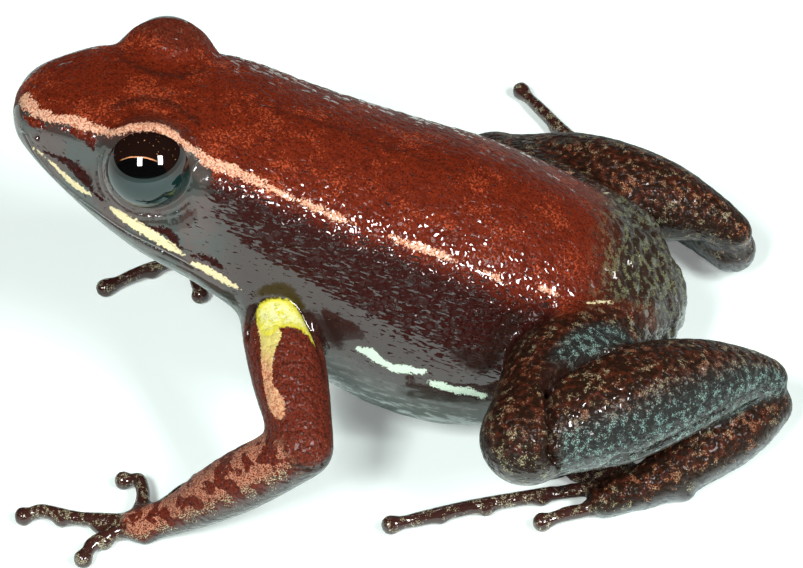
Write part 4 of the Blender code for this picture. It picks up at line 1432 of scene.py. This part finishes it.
# %% Skin material: limb colours
ARM_RED = (0.120, 0.018, 0.008, 1)
ARM_DARK = (0.035, 0.008, 0.005, 1)
ARM_UNDER = (0.035, 0.028, 0.026, 1)
COPPER = (0.460, 0.200, 0.120, 1)
GOLD_GREEN = (0.500, 0.480, 0.300, 1)
LEG_GOLD = (0.300, 0.290, 0.170, 1)
LEG_COPPER = (0.340, 0.150, 0.075, 1)
LEG_RED = (0.050, 0.011, 0.005, 1)
LEG_BLACK = (0.014, 0.006, 0.003, 1)
TEAL = (0.190, 0.330, 0.300, 1)
TEAL_SHADE = (0.016, 0.018, 0.017, 1)
SOLE_GREY = (0.110, 0.115, 0.118, 1)
DIGIT_BROWN = (0.034, 0.010, 0.007, 1)
top_side = ramp(tree, value["upward"], -0.25, 0.35)
arm_colour = blend(tree, ramp(tree, grit, 0.4, 0.55), ARM_DARK, ARM_RED)
arm_share = ramp(tree, z_place, 7.6, 4.4, 0.06, 0.42)
arm_specks = use(tree, SPECKS, Place=place, Size=0.06, Share=arm_share)
arm_colour = blend(tree, product(tree, arm_specks, 0.6), arm_colour, COPPER)
arm_colour = blend(tree, top_side, ARM_UNDER, arm_colour)
dark_spots = ramp(tree, noise(tree, place, 0.75, 2), 0.5, 0.56)
fore_share = ramp(tree, value["upward"], -0.4, 0.6, 0.28, 0.55)
fore_share = maths(tree, "SUBTRACT", fore_share, product(tree, dark_spots, 0.5))
fore_specks = use(tree, SPECKS, Place=place, Size=0.055, Share=fore_share)
fore_tint = blend(tree, ramp(tree, value["upward"], 0.45, 0.1), COPPER, GOLD_GREEN)
fore_colour = blend(tree, ramp(tree, grit, 0.4, 0.55), ARM_DARK, ARM_RED)
fore_colour = blend(tree, ramp(tree, value["upward"], 0.3, -0.3), fore_colour, ARM_UNDER)
fore_colour = blend(tree, product(tree, fore_specks, 0.8), fore_colour, fore_tint)
red_share = product(tree, ramp(tree, mottle, 0.44, 0.6), ramp(tree, value["upward"], 0.1, 0.7))
leg_colour = blend(tree, red_share, LEG_BLACK, LEG_RED)
leg_clumps = ramp(tree, blend(tree, 0.5, blotch, mottle), 0.44, 0.6, 0.04, 0.5)
leg_specks = use(tree, SPECKS, Place=place, Size=0.048, Share=leg_clumps)
leg_tint = blend(tree, ramp(tree, cloud, 0.38, 0.54), LEG_COPPER, LEG_GOLD)
leg_colour = blend(tree, product(tree, leg_specks, 0.75), leg_colour, leg_tint)
teal_zone = product(tree, ramp(tree, value["upward"], 0.9, 0.45), value["shank"])
teal_zone = product(tree, teal_zone, ramp(tree, value["outward"], -0.1, 0.3))
teal_zone = maths(tree, "MAXIMUM", teal_zone, ramp(tree, value["teal"], -0.3, 0.3))
teal_share = ramp(tree, mottle, 0.38, 0.62, 0.16, 0.5)
teal_specks = use(tree, SPECKS, Place=place, Size=0.042, Share=teal_share)
teal_tint = blend(tree, teal_specks, TEAL_SHADE, TEAL)
leg_colour = blend(tree, product(tree, teal_zone, 0.85), leg_colour, teal_tint)
sole_side = product(tree, value["foot"], ramp(tree, value["upward"], 0.2, -0.3))
leg_colour = blend(tree, sole_side, leg_colour, SOLE_GREY)
digit_share = ramp(tree, mottle, 0.4, 0.62, 0.05, 0.5)
digit_specks = use(tree, SPECKS, Place=place, Size=0.05, Share=digit_share)
digit_colour = blend(tree, product(tree, digit_specks, 0.6), DIGIT_BROWN, GOLD_GREEN)
colour = blend(tree, value["limb"], trunk, leg_colour)
colour = blend(tree, value["upper_arm"], colour, arm_colour)
colour = blend(tree, value["forearm"], colour, fore_colour)
colour = blend(tree, value["digit"], colour, digit_colour)
print("limb colours ready")

# %% [markdown]
# ### The marks
#
# The stripe, the arm's band and the mint marks break up into specks at their edges, so
# their depth steers how dense the specks are. Lip, flash, olive edge and the hollows'
# painted shade are whole patches with a ragged edge. They are laid over the ground colour
# one after another: first the dark back line and the painted shade of the lid crease,
# slits, hollows and creases, then the painted highlight on the lip's ridge, and the pale
# marks and the painted reflection grey behind the eye last.

# %% Skin material: marks
CREAM = (0.640, 0.400, 0.270, 1)
CREAM_ORANGE = (0.380, 0.110, 0.050, 1)
SNOUT_GOLD = (0.300, 0.250, 0.110, 1)
LIP_CREAM = (0.640, 0.560, 0.330, 1)
YELLOW = (0.480, 0.440, 0.030, 1)
# Pale yellow of the painted highlight in the yellow spot's middle
YELLOW_HIGHLIGHT = (0.540, 0.550, 0.260, 1)
YELLOW_SOFT = (0.500, 0.440, 0.130, 1)
# Grey of the floor's reflection, painted on the matt spot behind the eye
PAINTED_REFLECTION_GREY = (0.050, 0.040, 0.035, 1)
OLIVE = (0.036, 0.026, 0.006, 1)
BAND_CREAM = (0.520, 0.310, 0.170, 1)
MINT_GREEN = (0.560, 0.700, 0.560, 1)
# Pale grey painted highlight on the lip's ridge
LIP_HIGHLIGHT_GREY = (0.450, 0.480, 0.480, 1)
NEAR_BLACK = (0.016, 0.006, 0.004, 1)
swing = maths(tree, "SUBTRACT", blotch, 0.5)
stripe_depth = maths(tree, "ADD", value["stripe"], product(tree, swing, 0.5))
stripe_share = ramp(tree, stripe_depth, -0.24, 0.2, 0.0, 0.86)
stripe_mask = use(tree, SPECKS, Place=place, Size=0.08, Share=stripe_share)
stripe_mask = product(tree, stripe_mask, ramp(tree, stripe_depth, -0.22, -0.08))
stripe_tint = blend(tree, ramp(tree, grit, 0.38, 0.56), CREAM_ORANGE, CREAM)
mint_depth = maths(tree, "ADD", value["mint"], product(tree, swing, 0.4))
mint_share = ramp(tree, mint_depth, -0.3, 0.16)
mint_mask = use(tree, SPECKS, Place=place, Size=0.07, Share=mint_share)
mint_mask = product(tree, mint_mask, ramp(tree, mint_depth, -0.3, -0.1))
stripe_tint = blend(tree, ramp(tree, x_place, -14.2, -15.4), stripe_tint, SNOUT_GOLD)
flash_mask = use(tree, MARK, Depth=value["flash"], Fray=fray, Reach=0.3, Softness=0.06)
# The yellow spot is pigment; the paler clouds in its middle are painted highlight on the shoulder's
# top
flash_highlight_share = product(tree, ramp(tree, value["flash"], 0.0, 0.35), ramp(tree, fray, 0.35, 0.55))
yellow_tint = blend(tree, flash_highlight_share, YELLOW, YELLOW_HIGHLIGHT)
# Black painted shade in the folds behind the arm and before the knee
hollow_shade_mask = use(tree, MARK, Depth=value["hollow"], Fray=fray, Reach=0.8, Softness=0.3)
band_share = ramp(tree, value["band"], -0.2, 0.12, 0.0, 1.0)
band_mask = use(tree, SPECKS, Place=place, Size=0.07, Share=band_share)
band_mask = product(tree, band_mask, ramp(tree, value["band"], -0.2, -0.06))
band_tint = blend(tree, ramp(tree, grit, 0.38, 0.56), CREAM_ORANGE, BAND_CREAM)
band_tint = blend(tree, ramp(tree, z_place, 7.6, 8.4), band_tint, YELLOW_SOFT)
# Painted reflection grey on the matt spot behind the eye
reflection_grey_mask = ramp(tree, value["matt"], -0.15, 0.15)
lip_mask = use(tree, MARK, Depth=value["lip"], Fray=fray, Reach=0.45, Softness=0.03)
olive_mask = use(tree, MARK, Depth=value["olive"], Fray=fray, Reach=0.4, Softness=0.15)
# Dark pigment of the back line, and painted shade of the crease over the upper lid
line_and_lid_shade_mask = use(tree, MARK, Depth=value["dark"], Fray=fray, Reach=0.6, Softness=0.15)
LAYERS = [
    # Back line pigment and the lid crease's painted shade
    (product(tree, line_and_lid_shade_mask, 0.6), NEAR_BLACK),
    # Painted shade in mouth, nostrils and lid folds
    (product(tree, value["slit"], 0.85), NEAR_BLACK),
    # Painted shade in the hollows
    (product(tree, hollow_shade_mask, 0.8), NEAR_BLACK),
    # Painted shade in the leg creases
    (product(tree, value["crease"], 0.8), NEAR_BLACK),
    # Painted highlight along the lip's ridge
    (product(tree, value["lip_edge"], 0.5), LIP_HIGHLIGHT_GREY),
    (product(tree, olive_mask, 0.8), OLIVE),
    (product(tree, band_mask, 0.95), band_tint),
    # Painted reflection grey behind the eye
    (reflection_grey_mask, PAINTED_REFLECTION_GREY),
    (product(tree, stripe_mask, 0.95), stripe_tint),
    (lip_mask, LIP_CREAM),
    (flash_mask, yellow_tint),
    (product(tree, mint_mask, 0.95), MINT_GREEN),
]
for mask, tint in LAYERS:
    colour = blend(tree, mask, colour, tint)
tree.links.new(colour, shader.inputs["Base Color"])
print("marks ready")

# %% [markdown]
# ### Gloss and bump
#
# The wet film is a clear coat over a matt ground. Its weight falls where granules or marks
# break the mirror, and a few single domes keep it, so they sparkle. The coat's roughness
# and its refraction are the same all over, so they are set on the sockets themselves.

# %% Skin material: gloss and bump
COAT_IOR = 1.7
COAT_ROUGHNESS = 0.06
GROUND_ROUGHNESS = 0.5
GROUND_SHINE = 0.05
DOME_HEIGHT = 0.035 * MM
FINE_HEIGHT = 0.006 * MM
limb_grain = product(tree, value["limb"], ramp(tree, value["upward"], -0.2, 0.5, 0.3, 0.88))
limb_grain = product(tree, limb_grain, ramp(tree, value["digit"], 0.0, 1.0, 1.0, 0.3))
granular = maths(tree, "MAXIMUM", fleck, limb_grain)
granular = product(tree, granular, maths(tree, "SUBTRACT", 1.0, value["belly"]))
granular = product(tree, granular, ramp(tree, value["rump"], 0.0, 1.0, 1.0, 0.6))
bead_height = product(tree, fine_domes, granular, ramp(tree, value["above"], -0.8, 0.2, 1.9, 1.0))
bump = add(tree, "ShaderNodeBump", {"Height": bead_height, "Distance": DOME_HEIGHT})
ripple = noise(tree, place, 0.4, 3)
inputs = {"Height": ripple, "Distance": FINE_HEIGHT, "Normal": bump.outputs[0]}
bump = add(tree, "ShaderNodeBump", inputs)
tree.links.new(bump.outputs[0], shader.inputs["Normal"])
tree.links.new(bump.outputs[0], shader.inputs["Coat Normal"])
broken = granular
# The hollows' painted shade also turns the wet coat down, so no reflection shows there
matt_hollow_shade = product(tree, hollow_shade_mask, 0.9)
# The coat is turned down on these marks, so the spot behind the eye shows only its painted reflection
# grey
for mask in (flash_mask, band_mask, olive_mask, lip_mask, patch, reflection_grey_mask, matt_hollow_shade):
    broken = maths(tree, "MAXIMUM", broken, mask)
bright_few = product(
    tree,
    ramp(tree, value["above"], -0.2, 1.8, 0.6, 0.03),
    ramp(tree, value["above"], -4.2, -2.2, 0.1, 1.0),
    ramp(tree, x_place, -9.5, -4.0, 0.2, 1.0),
    ramp(tree, value["limb"], 0.0, 1.0, 1.0, 0.4),
)
sparkling = ramp(tree, maths(tree, "SUBTRACT", bright_few, dome_chance), -0.03, 0.03)
sparkling = product(tree, sparkling, ramp(tree, fine_domes, 0.3, 0.6))
sparkling = product(tree, sparkling, ramp(tree, value["above"], -0.9, -0.2, 0.32, 1.0))
dull = product(tree, broken, maths(tree, "SUBTRACT", 1.0, product(tree, sparkling, 0.9)))
tree.links.new(ramp(tree, dull, 0.0, 1.0, 1.0, 0.06), shader.inputs["Coat Weight"])
shader.inputs["Roughness"].default_value = GROUND_ROUGHNESS
shader.inputs["Specular IOR Level"].default_value = GROUND_SHINE
shader.inputs["Coat IOR"].default_value = COAT_IOR
shader.inputs["Coat Roughness"].default_value = COAT_ROUGHNESS
skin.data.materials.clear()
skin.data.materials.append(skin_material)
print("skin material nodes", len(tree.nodes))

# %% [markdown]
# ## The eye's colours
#
# The iris is a brown so dark that only the thin copper line over the pupil parts the two.
# Some copper dots lie above that line, and the lower half is painted a very dark teal, a
# painted reflection tint of the pale floor it mirrors. The pupil is an oval worked out
# from the two stored numbers, which stays sharp without a picture. The cornea is a hard
# clear coat over it all.

# %% Eye material
IRIS = (0.008, 0.003, 0.002, 1)
PUPIL = (0.001, 0.001, 0.001, 1)
EYE_COPPER = (0.640, 0.280, 0.130, 1)
# Painted reflection: the teal tint of the floor mirrored in the eye's lower half
EYE_REFLECTION_TEAL = (0.003, 0.016, 0.015, 1)
PUPIL_HALF_WIDTH = 0.66
PUPIL_HALF_HEIGHT = 0.5
CORNEA_IOR = 1.62
CORNEA_ROUGHNESS = 0.03
eye_material, tree, shader = new_material("frog_eye")
across = maths(tree, "DIVIDE", stored_value(tree, "across"), PUPIL_HALF_WIDTH)
over = stored_value(tree, "over")
ring = maths(tree, "DIVIDE", over, PUPIL_HALF_HEIGHT)
ring = add(tree, "ShaderNodeCombineXYZ", {0: across, 1: ring}).outputs[0]
ring = add(tree, "ShaderNodeVectorMath", {0: ring}, operation="LENGTH").outputs["Value"]
place = millimetre_place(tree)
wobble = maths(tree, "MULTIPLY", noise(tree, place, 0.4, 2), 0.05)
ring = maths(tree, "ADD", ring, wobble)
pupil = ramp(tree, ring, 1.02, 0.99)
arc = maths(tree, "MULTIPLY", ramp(tree, ring, 0.99, 1.01), ramp(tree, ring, 1.06, 1.03))
gaps = ramp(tree, noise(tree, place, 0.25, 2), 0.3, 0.5)
arc = product(tree, arc, ramp(tree, over, 0.36, 0.46), gaps)
above_arc = maths(tree, "MULTIPLY", ramp(tree, ring, 1.1, 1.2), ramp(tree, over, 0.2, 0.4))
glints = product(tree, use(tree, SPECKS, Place=place, Size=0.12, Share=0.22), above_arc)
eye_colour = blend(tree, pupil, IRIS, PUPIL)
# Painted reflection: the lower half tinted teal like the floor it mirrors
eye_colour = blend(tree, ramp(tree, over, 0.1, -0.1), eye_colour, EYE_REFLECTION_TEAL)
copper = maths(tree, "MAXIMUM", arc, maths(tree, "MULTIPLY", glints, 0.6))
eye_colour = blend(tree, copper, eye_colour, EYE_COPPER)
tree.links.new(eye_colour, shader.inputs["Base Color"])
shader.inputs["Roughness"].default_value = GROUND_ROUGHNESS
shader.inputs["Specular IOR Level"].default_value = 0.0
shader.inputs["Coat Weight"].default_value = 1.0
shader.inputs["Coat IOR"].default_value = CORNEA_IOR
shader.inputs["Coat Roughness"].default_value = CORNEA_ROUGHNESS
for eyeball in (eyeball_left, eyeball_right):
    eyeball.data.materials.clear()
    eyeball.data.materials.append(eye_material)
print("eye material nodes", len(tree.nodes))

# %% [markdown]
# ## Who stands for what
#
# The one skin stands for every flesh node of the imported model, and each eyeball for its own
# eye. All ride the only body there is.

# %% Ride and replace
flesh = sorted(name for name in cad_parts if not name.startswith("eye_"))
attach(skin, "root")
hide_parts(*flesh)
for eyeball, node in ((eyeball_left, "eye_left"), (eyeball_right, "eye_right")):
    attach(eyeball, "root")
    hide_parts(node)
print("flesh nodes replaced", len(flesh))

# %% [markdown]
# ## Floor
#
# A pale floor reaches far enough to fill every reflection below the horizon. The camera
# alone also sees it glow a little, so that it looks as bright as paper without lighting
# the frog more.

# %% Floor
FLOOR_RADIUS = 0.12
FLOOR_GLOW = 0.2
FLOOR_COLOUR = (0.80, 0.92, 0.88, 1)
WHITE = (1, 1, 1, 1)
bm = bmesh.new()
bmesh.ops.create_circle(bm, cap_ends=True, segments=64, radius=FLOOR_RADIUS)
floor = link(bm, "floor")
floor_material, tree, shader = new_material("floor")
shader.inputs["Base Color"].default_value = FLOOR_COLOUR
shader.inputs["Roughness"].default_value = 0.9
shader.inputs["Specular IOR Level"].default_value = 0.1
seen = add(tree, "ShaderNodeLightPath").outputs["Is Camera Ray"]
shader.inputs["Emission Color"].default_value = WHITE
tree.links.new(product(tree, seen, FLOOR_GLOW), shader.inputs["Emission Strength"])
floor.data.materials.append(floor_material)
print("floor radius", FLOOR_RADIUS, "m")

# %% [markdown]
# ## Light
#
# Two tall soft boxes stand beside the lens, so each shows as an upright bar in the wet eye
# and as a point on every wet granule. The rest of the light comes from the surroundings:
# a low pale band above the horizon, and a dark studio over it, which leaves the upper part
# of the eye black. To the camera itself the surroundings are plain white.

# %% Lamps
LAMP_DISTANCE = 0.25
LAMP_SIZE = (0.055, 0.1)
LAMP_POWER = 0.68
LAMPS = {"lamp_left": (-20, 6), "lamp_right": (34, 11)}
middle_of_head = TO_METRES @ Vector(EYE_CENTRE)
for name, turns in LAMPS.items():
    data = bpy.data.lights.new(name, "AREA")
    data.shape = "RECTANGLE"
    data.size, data.size_y = LAMP_SIZE
    data.energy = LAMP_POWER
    lamp = bpy.data.objects.new(name, data)
    bpy.context.scene.collection.objects.link(lamp)
    sideways, raised = (math.tan(math.radians(turn)) for turn in turns)
    out = BACKWARD + RIGHTWARD * sideways + UPWARD * raised
    out.normalize()
    side = UPWARD.cross(out).normalized()
    turned = Matrix((side, out.cross(side), out)).transposed().to_4x4()
    lamp.matrix_world = Matrix.Translation(middle_of_head + out * LAMP_DISTANCE) @ turned
    lamp.visible_camera = False
print("lamps", list(LAMPS))

# %% Surroundings
BAND_TOP = math.sin(math.radians(3.5))
BAND_EDGE = 0.01
STUDIO_PALE = (0.74, 0.90, 0.85, 1)
STUDIO_DARK = (0.02, 0.02, 0.02, 1)
world = bpy.data.worlds.new("studio")
bpy.context.scene.world = world
world.use_nodes = True
tree = world.node_tree
way = add(tree, "ShaderNodeTexCoord").outputs["Generated"]
rise = add(tree, "ShaderNodeSeparateXYZ", {0: way}).outputs[2]
pale = ramp(tree, rise, BAND_TOP + BAND_EDGE, BAND_TOP - BAND_EDGE)
seen = add(tree, "ShaderNodeLightPath").outputs["Is Camera Ray"]
studio = blend(tree, pale, STUDIO_DARK, STUDIO_PALE)
background = tree.nodes["Background"]
tree.links.new(blend(tree, seen, studio, WHITE), background.inputs["Color"])
bpy.context.scene.view_settings.view_transform = "Standard"
print("world", world.name)
